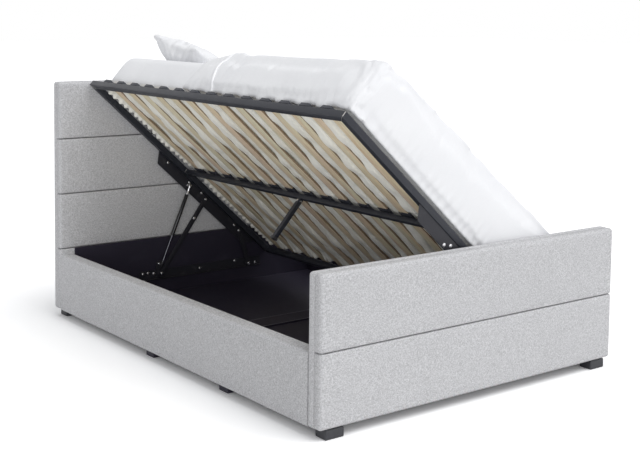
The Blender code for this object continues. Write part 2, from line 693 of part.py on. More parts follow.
def build_base_plates():
    """On each end board: a steel angle and a pivot plate with their bolts, the main pin and two studs."""
    wall = BASE_ANGLE_THICKNESS
    top = MAIN_BASE_PIVOT.z + BASE_ANGLE_ABOVE_PIVOT
    bottom = top - BASE_ANGLE_HEIGHT
    near = MAIN_BASE_PIVOT.x - BASE_ANGLE_NEAR_END
    far = REAR_BASE_PIVOT.x + BASE_ANGLE_FAR_END
    section = [(0, bottom), (BASE_ANGLE_FLANGE, bottom), (BASE_ANGLE_FLANGE, bottom + wall),
               (wall, bottom + wall), (wall, top), (0, top)]
    left = min(MAIN_BASE_PIVOT.x, STRUT_BASE_PIVOT.x) - PIVOT_PLATE_MARGIN
    right = max(MAIN_BASE_PIVOT.x, STRUT_BASE_PIVOT.x) + PIVOT_PLATE_MARGIN
    crest = STRUT_BASE_PIVOT.z + PIVOT_PLATE_MARGIN
    foot = bottom + 2 * wall
    ear = rounded([(left, foot, 0), (right, foot, 0), (right, crest, PIVOT_PLATE_CORNER),
                   (left, crest, PIVOT_PLATE_CORNER)])
    angle_face = TOUCH + wall
    plate_face = angle_face + PIVOT_PLATE_THICKNESS
    plate_middle = angle_face + (PIVOT_PLATE_THICKNESS - OVERRUN) / 2
    for end, (_face, inwards) in ENDS.items():
        mirrored = [(inwards * depth, height) for depth, height in section]
        angle = add_object("angle", plate_mesh("angle", [mirrored], far - near), STEEL, None,
                           ((near + far) / 2, layer_y(end, TOUCH), 0), ALONG_X)
        plate = upright_plate("plate", [ear], PIVOT_PLATE_THICKNESS + OVERRUN,
                              (0, layer_y(end, plate_middle), 0), STEEL)
        places = [(near + along * (far - near), layer_y(end, angle_face), bottom + up * (top - bottom))
                  for along, up in BASE_BOLT_SHARES]
        bolts = bolt_heads(places, (0, inwards, 0), STEEL)
        main_pin = arm_pin(end, plate_face - OVERRUN, MAIN_BASE_PIVOT)
        stud = strut_stud(end, plate_face - OVERRUN, STRUT_BASE_PIVOT)
        rear_collar = layered_pin(end, [(PIN_COLLAR_RADIUS, angle_face - OVERRUN),
                                        (PIN_COLLAR_RADIUS, ARM_LAYER - TOUCH)], REAR_BASE_PIVOT)
        united(f"{end}_base_plate", [angle, plate, bolts, main_pin, stud, rear_collar])


def arm_rivet(end, place):
    """A rivet's head on the open side of an arm."""
    face = ARM_LAYER + ARM_THICKNESS
    steps = [(PIN_HEAD_RADIUS, face - OVERRUN), (PIN_HEAD_RADIUS, face + PIN_HEAD_HEIGHT)]
    return layered_pin(end, steps, place)


def pin_hole(distance):
    return circle((distance, 0), PIN_RADIUS + PIN_CLEARANCE, PIN_SIDES)


def build_arms():
    """At each end a long main arm, which carries the deck, and a short rear arm, which tilts it."""
    for end in ENDS:
        depth = Vector((0, layer_y(end, ARM_LAYER + ARM_THICKNESS / 2), 0))
        outline = stadium(MAIN_ARM_LENGTH, MAIN_ARM_WIDTH, PIN_SIDES)
        arm = upright_plate("arm", [outline, pin_hole(0), pin_hole(MAIN_ARM_LENGTH)], ARM_THICKNESS,
                            MAIN_BASE_PIVOT + depth, STEEL, angle=MAIN_ARM_ANGLE)
        rivet_place = MAIN_BASE_PIVOT + MAIN_ARM_LENGTH * MAIN_ARM_RIVET_SHARE * direction(MAIN_ARM_ANGLE)
        united(f"main_arm_{end}", [arm, arm_rivet(end, rivet_place)])

        outline = stadium(REAR_ARM_LENGTH, REAR_ARM_WIDTH, PIN_SIDES)
        arm = upright_plate("arm", [outline, pin_hole(0)], ARM_THICKNESS, REAR_DECK_PIVOT + depth, STEEL,
                            angle=REAR_ARM_ANGLE + math.pi)
        united(f"rear_arm_{end}", [arm, arm_rivet(end, REAR_BASE_PIVOT)])


def build_struts():
    """Gas struts: a cylinder with its socket, hung from the deck, and a rod that slides in it."""
    turn = (0, math.pi / 2 - STRUT_ANGLE, 0)
    body_top = -SOCKET_LENGTH
    body_end = body_top - STRUT_BODY_LENGTH
    bore = ROD_RADIUS + ROD_CLEARANCE
    bore_top = body_top - STRUT_BODY_CAP
    cylinder = [
        (0, SOCKET_RADIUS), (SOCKET_RADIUS, SOCKET_RADIUS), (SOCKET_RADIUS, -SOCKET_RADIUS),
        (SOCKET_NECK_RADIUS, -2 * SOCKET_RADIUS), (SOCKET_NECK_RADIUS, body_top),
        (STRUT_BODY_RADIUS - STRUT_EDGE, body_top), (STRUT_BODY_RADIUS, body_top - STRUT_EDGE),
        (STRUT_BODY_RADIUS, body_end + STRUT_EDGE), (STRUT_BODY_RADIUS - STRUT_EDGE, body_end),
        (bore, body_end), (bore, bore_top), (0, bore_top),
    ]
    rod_foot = ROD_END_LENGTH - STRUT_LENGTH
    rod = stepped((ROD_RADIUS, body_end + ROD_GRIP), (ROD_RADIUS, rod_foot), (SOCKET_NECK_RADIUS, rod_foot),
                  (SOCKET_NECK_RADIUS, SOCKET_RADIUS - STRUT_LENGTH),
                  (SOCKET_RADIUS, SOCKET_RADIUS - STRUT_LENGTH),
                  (SOCKET_RADIUS, -SOCKET_RADIUS - STRUT_LENGTH))
    for end in ENDS:
        place = STRUT_DECK_PIVOT + Vector((0, layer_y(end, STRUT_LAYER), 0))
        turned(f"strut_cylinder_{end}", cylinder, STRUT_SIDES, STRUT_BLACK, None, place, turn)
        turned(f"strut_rod_{end}", rod, STRUT_SIDES, CHROME, None, place, turn)


def deck_box(name, in_limits, drop_limits, y_limits, material, deck, edge=0.0):
    """A box between two distances in from the deck's near edge, two drops and two Y limits."""
    low = deck_local(in_limits[0], drop_limits[1], y_limits[0])
    high = deck_local(in_limits[1], drop_limits[0], y_limits[1])
    return box(name, low, high, material, deck, edge, segments=1)


def build_deck_frame(deck):
    """A welded frame of square tube with a rail down its middle."""
    width = DECK_WIDTH
    middle = deck_local(width / 2, TUBE_HEIGHT / 2, (DECK_FOOT_Y + DECK_HEAD_Y) / 2)
    rims = [(width / 2 - inset, DECK_LENGTH / 2 - inset) for inset in (0, TUBE_WIDTH)]
    outlines = [[(x, y), (-x, y), (-x, -y), (x, -y)] for x, y in rims]
    frame = add_object("frame", plate_mesh("frame", outlines, TUBE_HEIGHT), STEEL, deck, middle)
    add_bevel(frame, TUBE_EDGE, segments=1)
    rail_in = (width - MIDDLE_RAIL_WIDTH) / 2
    window = TUBE_WIDTH - OVERRUN
    rail = deck_box("rail", (rail_in, width - rail_in), (MIDDLE_RAIL_DROP, MIDDLE_RAIL_HEIGHT),
                    (DECK_FOOT_Y + window, DECK_HEAD_Y - window), STEEL, deck)
    united("deck_frame", [frame, rail])


def build_deck_leg(deck):
    """A square leg under the middle rail, which stands on the storage floor when the deck is down."""
    middle_in, middle_y = DECK_WIDTH / 2, DECK_FOOT_Y + LEG_FROM_FOOT_END
    half = LEG_SIZE / 2
    cap_half = half + LEG_CAP_WALL
    bottom = DECK_LOW_TOP - FLOOR_TOP - LEG_FLOOR_CLEARANCE
    leg = deck_box("leg", (middle_in - half, middle_in + half),
                   (MIDDLE_RAIL_HEIGHT + TOUCH, bottom - OVERRUN),
                   (middle_y - half, middle_y + half), STEEL, deck, edge=TUBE_EDGE)
    cap = deck_box("cap", (middle_in - cap_half, middle_in + cap_half), (bottom - LEG_CAP_HEIGHT, bottom),
                   (middle_y - cap_half, middle_y + cap_half), STEEL, deck)
    united("deck_leg", [leg, cap])


def build_slats(deck):
    """Rows of two slats end to end, held by a cap on each side tube and a joint over the middle rail."""
    width = DECK_WIDTH
    first = DECK_FOOT_Y + SLAT_FIRST
    holder_top = -(TOUCH + HOLDER_HEIGHT)
    holder_y = (first - HOLDER_WIDTH / 2, first + HOLDER_WIDTH / 2)
    slat_low = -(TOUCH + HOLDER_WALL)
    slats = deck_box("slats", (HOLDER_DEPTH / 2, width - HOLDER_DEPTH / 2),
                     (slat_low - SLAT_THICKNESS, slat_low),
                     (first - SLAT_WIDTH / 2, first + SLAT_WIDTH / 2), BEECH, deck, edge=SLAT_EDGE)
    starts = (0, width / 2 - HOLDER_DEPTH, width - HOLDER_DEPTH)
    lengths = (HOLDER_DEPTH, 2 * HOLDER_DEPTH, HOLDER_DEPTH)
    holders = [deck_box("holder", (start, start + length), (holder_top, -TOUCH), holder_y, BEECH, deck)
               for start, length in zip(starts, lengths)]
    first_row = united("slat_row_1", [slats, *holders])
    for number in range(1, SLAT_COUNT):
        place = first_row.location + Vector((0, number * SLAT_PITCH, 0))
        add_object(f"slat_row_{number + 1}", first_row.data, BEECH, deck, place)


def build_lift_brackets(deck):
    """Steel brackets under the deck's end tubes, with their bolts, pins and strut studs."""
    top = TUBE_HEIGHT + TOUCH
    bottom = top + BRACKET_DEPTH
    near, far = BRACKET_NEAR_END, REAR_PIVOT_IN + BRACKET_FAR_MARGIN
    corners = [
        (near, top), (far, top), (far, top + BRACKET_DEPTH / 3), (far - BRACKET_FAR_CUT, bottom),
        (near + BRACKET_NEAR_CUT, bottom),
    ]
    outline = [(place.x, place.z) for place in (deck_local(*corner) for corner in corners)]
    face = BRACKET_LAYER + BRACKET_THICKNESS
    for end, (_face, inwards) in ENDS.items():
        middle = layer_y(end, BRACKET_LAYER + BRACKET_THICKNESS / 2)
        plate = upright_plate("plate", [outline], BRACKET_THICKNESS, (0, middle, 0), STEEL, deck)
        places = [deck_local(near + along * (far - near), top + down * BRACKET_DEPTH, layer_y(end, face))
                  for along, down in BRACKET_BOLT_SHARES]
        bolts = bolt_heads(places, (0, inwards, 0), STEEL, deck)
        start = face - OVERRUN
        main_pin = arm_pin(end, start, deck_local(MAIN_PIVOT_IN, MAIN_PIVOT_DROP), deck)
        rear_pin = arm_pin(end, start, deck_local(REAR_PIVOT_IN, REAR_PIVOT_DROP), deck)
        stud = strut_stud(end, start, deck_local(STRUT_PIVOT_IN, STRUT_PIVOT_DROP), deck)
        united(f"lift_bracket_{end}", [plate, bolts, main_pin, rear_pin, stud])


def cut(item, cutter):
    """Take a cutter's shape out of an item."""
    bpy.context.view_layer.update()
    boolean = item.modifiers.new("Hollow", "BOOLEAN")
    boolean.operation = "DIFFERENCE"
    boolean.object = cutter
    item.data = welded(item)
    item.modifiers.clear()
    bpy.data.objects.remove(cutter, do_unlink=True)


def soft_cage(size, side_rim, height_rims):
    """A box cut near its edges and across its length and width, ready to be shaped as a soft form."""
    shape = bmesh.new()
    add_cube(shape, -size / 2, size / 2)
    bottom_rim, top_rim = height_rims
    for axis in range(3):
        half = size[axis] / 2
        if axis == 2:
            cuts = [bottom_rim - half, half - top_rim]
        else:
            cuts = [side_rim - half, half - side_rim]
            cuts += [-half + share * size[axis] for share in BLOCK_CUT_SHARES]
        normal = Vector([1.0 if index == axis else 0.0 for index in range(3)])
        for place in cuts:
            bmesh.ops.bisect_plane(shape, geom=shape.verts[:] + shape.edges[:] + shape.faces[:],
                                   plane_co=normal * place, plane_no=normal)
    return shape


def position_shares(vertex, size):
    """Where a cage's vertex lies across, along and up the form, each from -1 to 1."""
    return [2 * vertex.co[axis] / size[axis] for axis in range(3)]


def soft_object(name, shape, centre, deck, tilt=0.0):
    """Finish a shaped cage as a smooth soft form on the deck."""
    mesh = bpy.data.meshes.new(name)
    shape.to_mesh(mesh)
    shape.free()
    mesh.transform(Matrix.Rotation(tilt, 4, "X"))
    item = add_object(name, mesh, LINEN, deck, centre)
    surface = item.modifiers.new("Soft", "SUBSURF")
    surface.levels = 1
    surface.render_levels = 1
    item.data.shade_smooth()
    return item


def mattress_form(name, deck, growth=0.0, deeper=0.0):
    """The mattress with a slightly crowned top; a growth makes the hollow that it fills in the duvet."""
    margin = Vector((growth, growth, growth))
    low = deck_local(MATTRESS_SIDE_INSET, -MATTRESS_BASE, DECK_FOOT_Y + MATTRESS_FOOT_INSET)
    high = deck_local(DECK_WIDTH - MATTRESS_SIDE_INSET, -MATTRESS_TOP, DECK_HEAD_Y - MATTRESS_HEAD_INSET)
    low -= margin + Vector((0, 0, deeper))
    high += margin
    size = high - low
    shape = soft_cage(size, MATTRESS_EDGE, (MATTRESS_EDGE / 2, MATTRESS_EDGE))
    for vertex in shape.verts:
        across, along, up = position_shares(vertex, size)
        if up > 0:
            vertex.co.z += MATTRESS_CROWN * (1 - across ** 2) * (1 - along ** 2)
    return soft_object(name, shape, (low + high) / 2, deck)


def build_duvet(deck):
    """A duvet over the foot half and the mattress's sides, slid to the low side, its head end folded thin."""
    low = deck_local(DUVET_SIDE_INSET, -MATTRESS_BASE, DECK_FOOT_Y + DUVET_FOOT_INSET)
    high = deck_local(DECK_WIDTH - DUVET_SIDE_INSET, -(MATTRESS_TOP + DUVET_LOFT), low.y + DUVET_LENGTH)
    size = high - low
    shape = soft_cage(size, DUVET_EDGE, (DUVET_HEM_EDGE, DUVET_EDGE))
    for vertex in shape.verts:
        across, along, up = position_shares(vertex, size)
        side = max(abs(across), abs(along)) ** FOLD_POWER
        wave = math.sin(2 * math.pi * (vertex.co.x + vertex.co.y) / DUVET_FOLD_PITCH)
        vertex.co.x -= math.copysign(DUVET_FOLD_DEPTH * side * (1 + wave) / 2, across)
        if along < 0:
            vertex.co.y += DUVET_FOLD_DEPTH * side * (1 - wave) / 2
        if up > 0:
            vertex.co.z += DUVET_CROWN * (1 - across ** 2) * (1 - along ** 2) + DUVET_LEAN * across
            fold = max(0.0, (along - DUVET_FOLD_FROM_SHARE) / (1 - DUVET_FOLD_FROM_SHARE))
            vertex.co.z -= DUVET_FOLD_DROP * min(1.0, 2 * fold)
    duvet = soft_object("duvet", shape, (low + high) / 2, deck)
    hollow = mattress_form("duvet_hollow", deck, BEDDING_CLEARANCE, MATTRESS_EDGE)
    cut(duvet, hollow)


def build_pillows(deck):
    """Two pillows with thin seams and full middles, their head ends propped up a little."""
    size = Vector((PILLOW_LENGTH, PILLOW_WIDTH, PILLOW_THICKNESS))
    base = MATTRESS_TOP + PILLOW_SEAT + PILLOW_THICKNESS / 2
    middle_y = DECK_HEAD_Y - PILLOW_HEAD_INSET - PILLOW_WIDTH / 2
    for name, sign in (("near", -1), ("far", 1)):
        shape = soft_cage(size, PILLOW_EDGE, (PILLOW_THICKNESS / 3, PILLOW_THICKNESS / 3))
        for vertex in shape.verts:
            across, along, _up = position_shares(vertex, size)
            fullness = (1 - across ** 4) * (1 - along ** 4)
            vertex.co.z *= PILLOW_SEAM_SHARE + (1 - PILLOW_SEAM_SHARE) * fullness
            vertex.co.x -= math.copysign(PILLOW_DRAWN_IN * (1 - along ** 2), across) * across ** 2
            vertex.co.y -= math.copysign(PILLOW_DRAWN_IN * (1 - across ** 2), along) * along ** 2
        middle_in = (DECK_WIDTH + sign * (PILLOW_GAP + PILLOW_LENGTH)) / 2
        soft_object(f"{name}_pillow", shape, deck_local(middle_in, -base, middle_y), deck, PILLOW_TILT)


clear_scene()
BED = new_collection("ottoman_bed")
FABRIC = make_material("grey_weave", (0.52, 0.52, 0.53), 0.95)
BLACK_BOARD = make_material("black_board", (0.020, 0.018, 0.024), 0.75)
STEEL = make_material("charcoal_steel", (0.055, 0.058, 0.068), 0.45, 0.6)
STRUT_BLACK = make_material("black_enamel", (0.015, 0.015, 0.018), 0.30, 0.3)
CHROME = make_material("polished_rod", (0.60, 0.60, 0.62), 0.15, 1.0)
ZINC = make_material("zinc_plate", (0.70, 0.70, 0.72), 0.30, 1.0)
BEECH = make_material("beech_slat", (0.55, 0.42, 0.27), 0.55)
FOOT_PLASTIC = make_material("foot_plastic", (0.030, 0.030, 0.034), 0.60)
LINEN = make_material("white_linen", (0.86, 0.86, 0.88), 0.90)


def main():
    build_headboard()
    build_footboard()
    build_rails()
    build_end_boards()
    build_floor()
    build_cross_supports()
    build_corner_feet()
    build_corner_angles()
    build_base_plates()
    build_arms()
    build_struts()
    deck = bpy.data.objects.new("deck_axis", None)
    deck.location = MAIN_DECK_PIVOT
    deck.rotation_euler = (0, DECK_TILT, 0)
    BED.objects.link(deck)
    build_deck_frame(deck)
    build_deck_leg(deck)
    build_slats(deck)
    build_lift_brackets(deck)
    mattress_form("mattress", deck)
    build_duvet(deck)
    build_pillows(deck)


main()
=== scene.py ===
"""Looks of a side-opening ottoman bed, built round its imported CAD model.

The bed stands on the floor (+Z up), its head towards +Y, and its slatted deck is raised towards -X.
All lengths are metres.
"""

import logging
import math
from dataclasses import dataclass
from enum import Enum
from typing import Callable, Iterable, Sequence

import bmesh
import bpy
from mathutils import Matrix, Vector, noise
from mathutils.bvhtree import BVHTree


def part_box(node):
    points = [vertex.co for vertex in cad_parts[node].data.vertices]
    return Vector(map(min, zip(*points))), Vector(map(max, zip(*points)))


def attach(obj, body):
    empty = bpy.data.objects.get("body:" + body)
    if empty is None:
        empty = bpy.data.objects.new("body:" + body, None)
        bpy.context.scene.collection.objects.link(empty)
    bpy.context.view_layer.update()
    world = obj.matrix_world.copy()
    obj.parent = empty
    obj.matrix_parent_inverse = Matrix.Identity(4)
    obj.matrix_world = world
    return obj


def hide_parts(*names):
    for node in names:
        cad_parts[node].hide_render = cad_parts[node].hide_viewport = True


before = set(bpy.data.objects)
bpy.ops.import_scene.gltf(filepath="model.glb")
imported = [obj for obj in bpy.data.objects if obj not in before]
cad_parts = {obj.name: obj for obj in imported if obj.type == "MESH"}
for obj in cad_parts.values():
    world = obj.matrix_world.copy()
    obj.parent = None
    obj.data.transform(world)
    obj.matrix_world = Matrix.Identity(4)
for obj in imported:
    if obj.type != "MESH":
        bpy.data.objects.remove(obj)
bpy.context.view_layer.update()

LOG = logging.getLogger("ottoman_bed")

Colour = tuple[float, float, float]
Cells = tuple[float, float, float]
Corner = Sequence[float]
Flat = tuple[float, float]
Socket = bpy.types.NodeSocket

TILT = math.radians(42.0)
UP = Vector((0, 0, 1))
STILL = Vector((0, 0, 0))

# HAIR keeps two faces apart or lets them overlap, SAME is how near two places count as one, and
# vertices nearer than MERGED are merged.
HAIR = 0.0004
SAME = 1e-5
MERGED = 1e-6


class Body(Enum):
    """The moving bodies that a piece can ride on."""

    BASE = "base"
    MAIN_ARMS = "main_arms"
    DECK = "deck"
    REAR_ARMS = "rear_arms"
    CYLINDERS = "strut_cylinders"
    RODS = "strut_rods"


class Slot(Enum):
    """The record's material slots."""

    WEAVE = "grey_weave"
    BOARD = "black_board"
    STEEL = "charcoal_steel"
    ENAMEL = "black_enamel"
    ROD = "polished_rod"
    BEECH = "beech_slat"
    PLASTIC = "foot_plastic"
    LINEN = "white_linen"


class End(Enum):
    """The two ends of the bed: the name in node names, and the way inwards along Y."""

    HEAD = ("head", -1)
    FOOT = ("foot", 1)

    @property
    def label(self) -> str:
        """The end's name in node names."""
        return self.value[0]

    @property
    def inwards(self) -> int:
        """+1 or -1, the way along Y from this end into the bed."""
        return self.value[1]


class PadEdge(Enum):
    """The kinds of edge that a stuffed pad has."""

    OUTER = "outer"
    SEAM = "seam"
    REAR = "rear"


# Finishes


class Recipe:
    """A node tree under construction, with the Principled shader that it ends in."""

    def __init__(self, name: str, roughness: float, **uniform: float) -> None:
        """Start a material.

        Args:
            name: the material's name.
            roughness: the shader's uniform roughness.
            uniform: other shader sockets, with _ in place of blanks.
        """
        self.material = bpy.data.materials.new(name)
        self.material.use_nodes = True
        self.tree = self.material.node_tree
        self.shader = self.tree.nodes["Principled BSDF"]
        self.shader.inputs["Roughness"].default_value = roughness
        for socket, value in uniform.items():
            self.shader.inputs[socket.replace("_", " ")].default_value = value
        self.place = self.node("TexCoord").outputs["Object"]

    def node(self, kind: str, inputs: dict | None = None, **settings: object) -> bpy.types.ShaderNode:
        """Add one node.

        Args:
            kind: the node's type without its ShaderNode prefix.
            inputs: socket names or indices to values or to other nodes' outputs.
            settings: the node's own properties.

        Returns:
            The new node.
        """
        made = self.tree.nodes.new("ShaderNode" + kind)
        for key, value in settings.items():
            setattr(made, key, value)
        for key, value in (inputs or {}).items():
            if isinstance(value, Socket):
                self.tree.links.new(value, made.inputs[key])
            else:
                made.inputs[key].default_value = value
        return made

    def mapped(self, scale: Corner = (1, 1, 1), turn: float = 0.0) -> Socket:
        """Object coordinates turned about Y by an angle and then stretched."""
        flat = self.node("Mapping", {"Vector": self.place, "Rotation": (0, -turn, 0)}).outputs[0]
        return self.node("Mapping", {"Vector": flat, "Scale": tuple(scale)}).outputs[0]

    def grain(self, scale: float, place: Socket | None = None, detail: float = 2.0,
              twist: float = 0.0) -> Socket:
        """A noise value at a number of cells per metre."""
        inputs = {"Vector": place or self.place, "Scale": scale, "Detail": detail, "Distortion": twist}
        return self.node("TexNoise", inputs).outputs["Fac"]

    def waves(self, axis: str, per_metre: float) -> Socket:
        """Parallel threads across one axis, slightly uneven, at a number per metre."""
        inputs = {"Vector": self.place, "Scale": per_metre * math.pi / 10, "Distortion": 0.6,
                  "Detail": 1.0, "Detail Scale": 2.0}
        return self.node("TexWave", inputs, bands_direction=axis).outputs["Fac"]

    def math(self, operation: str, first: object, second: object = 0.0) -> Socket:
        """The result of a Math node."""
        return self.node("Math", {0: first, 1: second}, operation=operation).outputs[0]

    def blend(self, share: object, first: object, second: object) -> Socket:
        """A mix of two colours."""
        colours = [(*c, 1.0) if isinstance(c, tuple) else c for c in (first, second)]
        return self.node("Mix", {0: share, 6: colours[0], 7: colours[1]}, data_type="RGBA").outputs[2]

    def stain(self, mask: Socket, strength: float, under: object, colour: Colour) -> Socket:
        """A colour laid over another one, as far as a mask times a strength says."""
        return self.blend(self.math("MULTIPLY", mask, strength), under, colour)

    def steps(self, value: object, low: float, high: float) -> Socket:
        """A value stretched so that low becomes 0 and high becomes 1."""
        return self.node("MapRange", {0: value, 1: low, 2: high}).outputs[0]

    def spread(self, value: Socket, low: float, high: float) -> Socket:
        """A value from 0 to 1 spread from low to high."""
        return self.node("MapRange", {0: value, 3: low, 4: high}).outputs[0]

    def bump(self, height: object, distance: float, strength: float, under: Socket | None = None) -> Socket:
        """A bump of a height in metres, over another one where one is given."""
        inputs = {"Height": height, "Distance": distance, "Strength": strength}
        return self.node("Bump", inputs if under is None else inputs | {"Normal": under}).outputs[0]

    def finish(self, colour: Socket, normal: Socket, roughness: Socket | None = None) -> bpy.types.Material:
        """Join the results to the shader.

        Args:
            colour: the base colour.
            normal: the bumped normal.
            roughness: the roughness, where it varies.

        Returns:
            The finished material.
        """
        for socket, value in (("Base Color", colour), ("Normal", normal), ("Roughness", roughness)):
            if value is not None:
                self.tree.links.new(value, self.shader.inputs[socket])
        return self.material


@dataclass(frozen=True)
class HeatheredWeave:
    """Flat-woven upholstery in mixed light and mid grey yarns."""

    light: Colour = (0.70, 0.70, 0.715)
    dark: Colour = (0.385, 0.385, 0.395)
    fleck: Colour = (0.80, 0.80, 0.82)
    yarns_per_metre: float = 520.0
    heather_cells: float = 325.0
    relief: float = 0.0006

    def build(self) -> bpy.types.Material:
        """Build the material.

        Returns:
            The material.
        """
        made = Recipe("heathered_weave", 0.93, Sheen_Weight=0.15, Sheen_Roughness=0.5,
                      Specular_IOR_Level=0.25)
        cells = self.heather_cells
        across = made.grain(cells, made.mapped((0.45, 0.45, 1.6)), 3.0)
        along = made.grain(cells, made.mapped((1.5, 1.5, 0.45)), 3.0)
        heather = made.steps(made.math("ADD", across, along), 0.77, 1.23)
        flecks = made.steps(made.grain(cells * 1.6, None, 1.0), 0.66, 0.74)
        wear = made.steps(made.grain(5.0, None, 3.0), 0.3, 0.7)
        yarn = made.stain(flecks, 0.5, made.blend(heather, self.dark, self.light), self.fleck)
        threads = made.waves("X", self.yarns_per_metre)
        for axis in "YZ":
            threads = made.math("ADD", threads, made.waves(axis, self.yarns_per_metre))
        normal = made.bump(heather, self.relief, 0.5, made.bump(threads, self.relief, 0.35))
        return made.finish(made.stain(wear, 0.10, yarn, self.dark), normal)


@dataclass(frozen=True)
class LaminatedBoard:
    """Matt black laminate with a faint pressed grain and scuffs."""

    colour: Colour = (0.023, 0.020, 0.034)
    scuff: Colour = (0.048, 0.044, 0.064)
    relief: float = 0.0003

    def build(self) -> bpy.types.Material:
        """Build the material.

        Returns:
            The material.
        """
        made = Recipe("black_laminate", 0.46, Specular_IOR_Level=0.4)
        grain = made.grain(60.0, made.mapped((6.0, 0.35, 6.0)), 4.0, 0.4)
        scuffs = made.steps(made.grain(9.0, None, 6.0, 0.8), 0.56, 0.74)
        return made.finish(made.stain(scuffs, 0.35, self.colour, self.scuff),
                           made.bump(grain, self.relief, 0.4), made.spread(grain, 0.38, 0.56))


@dataclass(frozen=True)
class PowderCoat:
    """Charcoal powder coat: satin, with the coat's fine orange peel and paler rubbed spots."""

    name: str = "charcoal_powder_coat"
    colour: Colour = (0.022, 0.024, 0.032)
    rubbed: Colour = (0.060, 0.063, 0.075)
    roughness: float = 0.42
    gloss: float = 0.38
    relief: float = 0.00008

    def build(self) -> bpy.types.Material:
        """Build the material.

        Returns:
            The material.
        """
        made = Recipe(self.name, self.roughness, Specular_IOR_Level=self.gloss)
        peel = made.grain(900.0, None, 1.0)
        rub = made.steps(made.grain(26.0, None, 5.0, 0.5), 0.60, 0.78)
        rough = made.spread(made.grain(14.0), self.roughness - 0.06, self.roughness + 0.10)
        return made.finish(made.stain(rub, 0.4, self.colour, self.rubbed),
                           made.bump(peel, self.relief, 0.6), rough)


@dataclass(frozen=True)
class BrightMetal:
    """Plated or ground metal with a fine, uneven polish."""

    name: str
    colour: Colour
    roughness: float
    dulled_share: float = 0.72
    relief: float = 0.00005

    def build(self) -> bpy.types.Material:
        """Build the material.

        Returns:
            The material.
        """
        made = Recipe(self.name, self.roughness, Metallic=1.0)
        cloud = made.grain(120.0, None, 4.0)
        dull = tuple(part * self.dulled_share for part in self.colour)
        rough = made.spread(cloud, self.roughness * 0.7, self.roughness * 1.4)
        return made.finish(made.stain(cloud, 0.5, self.colour, dull),
                           made.bump(cloud, self.relief, 0.4), rough)


@dataclass(frozen=True)
class MouldedPlastic:
    """Charcoal moulded plastic with a sparked texture."""

    name: str = "moulded_plastic"
    colour: Colour = (0.030, 0.031, 0.036)
    roughness: float = 0.52
    pale_share: float = 1.6
    relief: float = 0.0001

    def build(self) -> bpy.types.Material:
        """Build the material.

        Returns:
            The material.
        """
        made = Recipe(self.name, self.roughness, Specular_IOR_Level=0.45)
        spark = made.grain(700.0, None, 3.0)
        cloud = made.steps(made.grain(30.0), 0.5, 0.8)
        paler = tuple(part * self.pale_share for part in self.colour)
        return made.finish(made.stain(cloud, 0.4, self.colour, paler), made.bump(spark, self.relief, 0.6))


@dataclass(frozen=True)
class BeechVeneer:
    """Steamed beech veneer that runs along each slat, every slat a little different."""

    pale: Colour = (0.94, 0.83, 0.61)
    deep: Colour = (0.70, 0.54, 0.34)
    streak: Colour = (0.36, 0.25, 0.15)
    green: Colour = (0.76, 0.74, 0.55)
    rosy: Colour = (0.74, 0.56, 0.44)
    # The slats' sides darken towards edge: partly their browner wood, partly painted shade.
    edge: Colour = (0.20, 0.13, 0.08)
    pitch: float = 0.12511
    relief: float = 0.0002

    def build(self) -> bpy.types.Material:
        """Build the material.

        Returns:
            The material.
        """
        made = Recipe("beech_veneer", 0.50, Specular_IOR_Level=0.4)
        grain = made.grain(3.0, made.mapped((1.6, 42.0, 42.0), TILT), 5.0, 0.7)
        pores = made.steps(made.grain(14.0, made.mapped((3.0, 60.0, 60.0), TILT), 2.0), 0.60, 0.72)
        patch = made.grain(2.2, made.mapped((1.0, 8.0, 8.0), TILT), 1.0)
        across = made.node("SeparateXYZ", {0: made.place}).outputs[1]
        row = made.math("FLOOR", made.math("DIVIDE", across, self.pitch))
        tint = made.node("TexWhiteNoise", {"W": row}, noise_dimensions="1D").outputs["Value"]
        # Faces that look along Y are the slats' sides; they take the edge colour, partly painted shade on
        # the sides.
        facing = made.node("SeparateXYZ", {0: made.node("NewGeometry").outputs["Normal"]}).outputs[1]
        side = made.steps(made.math("ABSOLUTE", facing), 0.45, 0.80)
        wood = made.blend(made.steps(grain, 0.32, 0.70), self.pale, self.deep)
        for mask, strength, colour in ((tint, 0.30, self.deep),
                                       (made.steps(patch, 0.50, 0.68), 0.60, self.green),
                                       (made.steps(patch, 0.50, 0.34), 0.55, self.rosy),
                                       (pores, 0.45, self.streak), (side, 0.85, self.edge)):
            wood = made.stain(mask, strength, wood, colour)
        return made.finish(wood, made.bump(grain, self.relief, 0.5))


@dataclass(frozen=True)
class SmoothCotton:
    """Washed white cotton with a fine thread and soft crushed creases."""

    name: str = "white_cotton"
    colour: Colour = (0.845, 0.85, 0.865)
    shade: Colour = (0.78, 0.785, 0.81)
    crease: float = 0.004
    crease_cells: float = 9.0
    pucker: float = 0.0020
    pucker_cells: Cells = (58.0, 58.0, 7.0)
    thread_relief: float = 0.00012

    def build(self) -> bpy.types.Material:
        """Build the material.

        Returns:
            The material.
        """
        made = Recipe(self.name, 0.86, Sheen_Weight=0.12, Sheen_Roughness=0.4, Specular_IOR_Level=0.2)
        thread = made.grain(1400.0, None, 1.0)
        crush = made.grain(self.crease_cells, made.mapped((1.0, 1.5, 1.0)), 5.0, 1.1)
        soft = made.steps(made.grain(4.0, None, 2.0), 0.35, 0.75)
        puckers = made.grain(1.0, made.mapped(self.pucker_cells, TILT), 3.0, 0.4)
        normal = made.bump(puckers, self.pucker, 0.75, made.bump(crush, self.crease, 0.55))
        return made.finish(made.stain(soft, 0.45, self.colour, self.shade),
                           made.bump(thread, self.thread_relief, 0.5, normal))


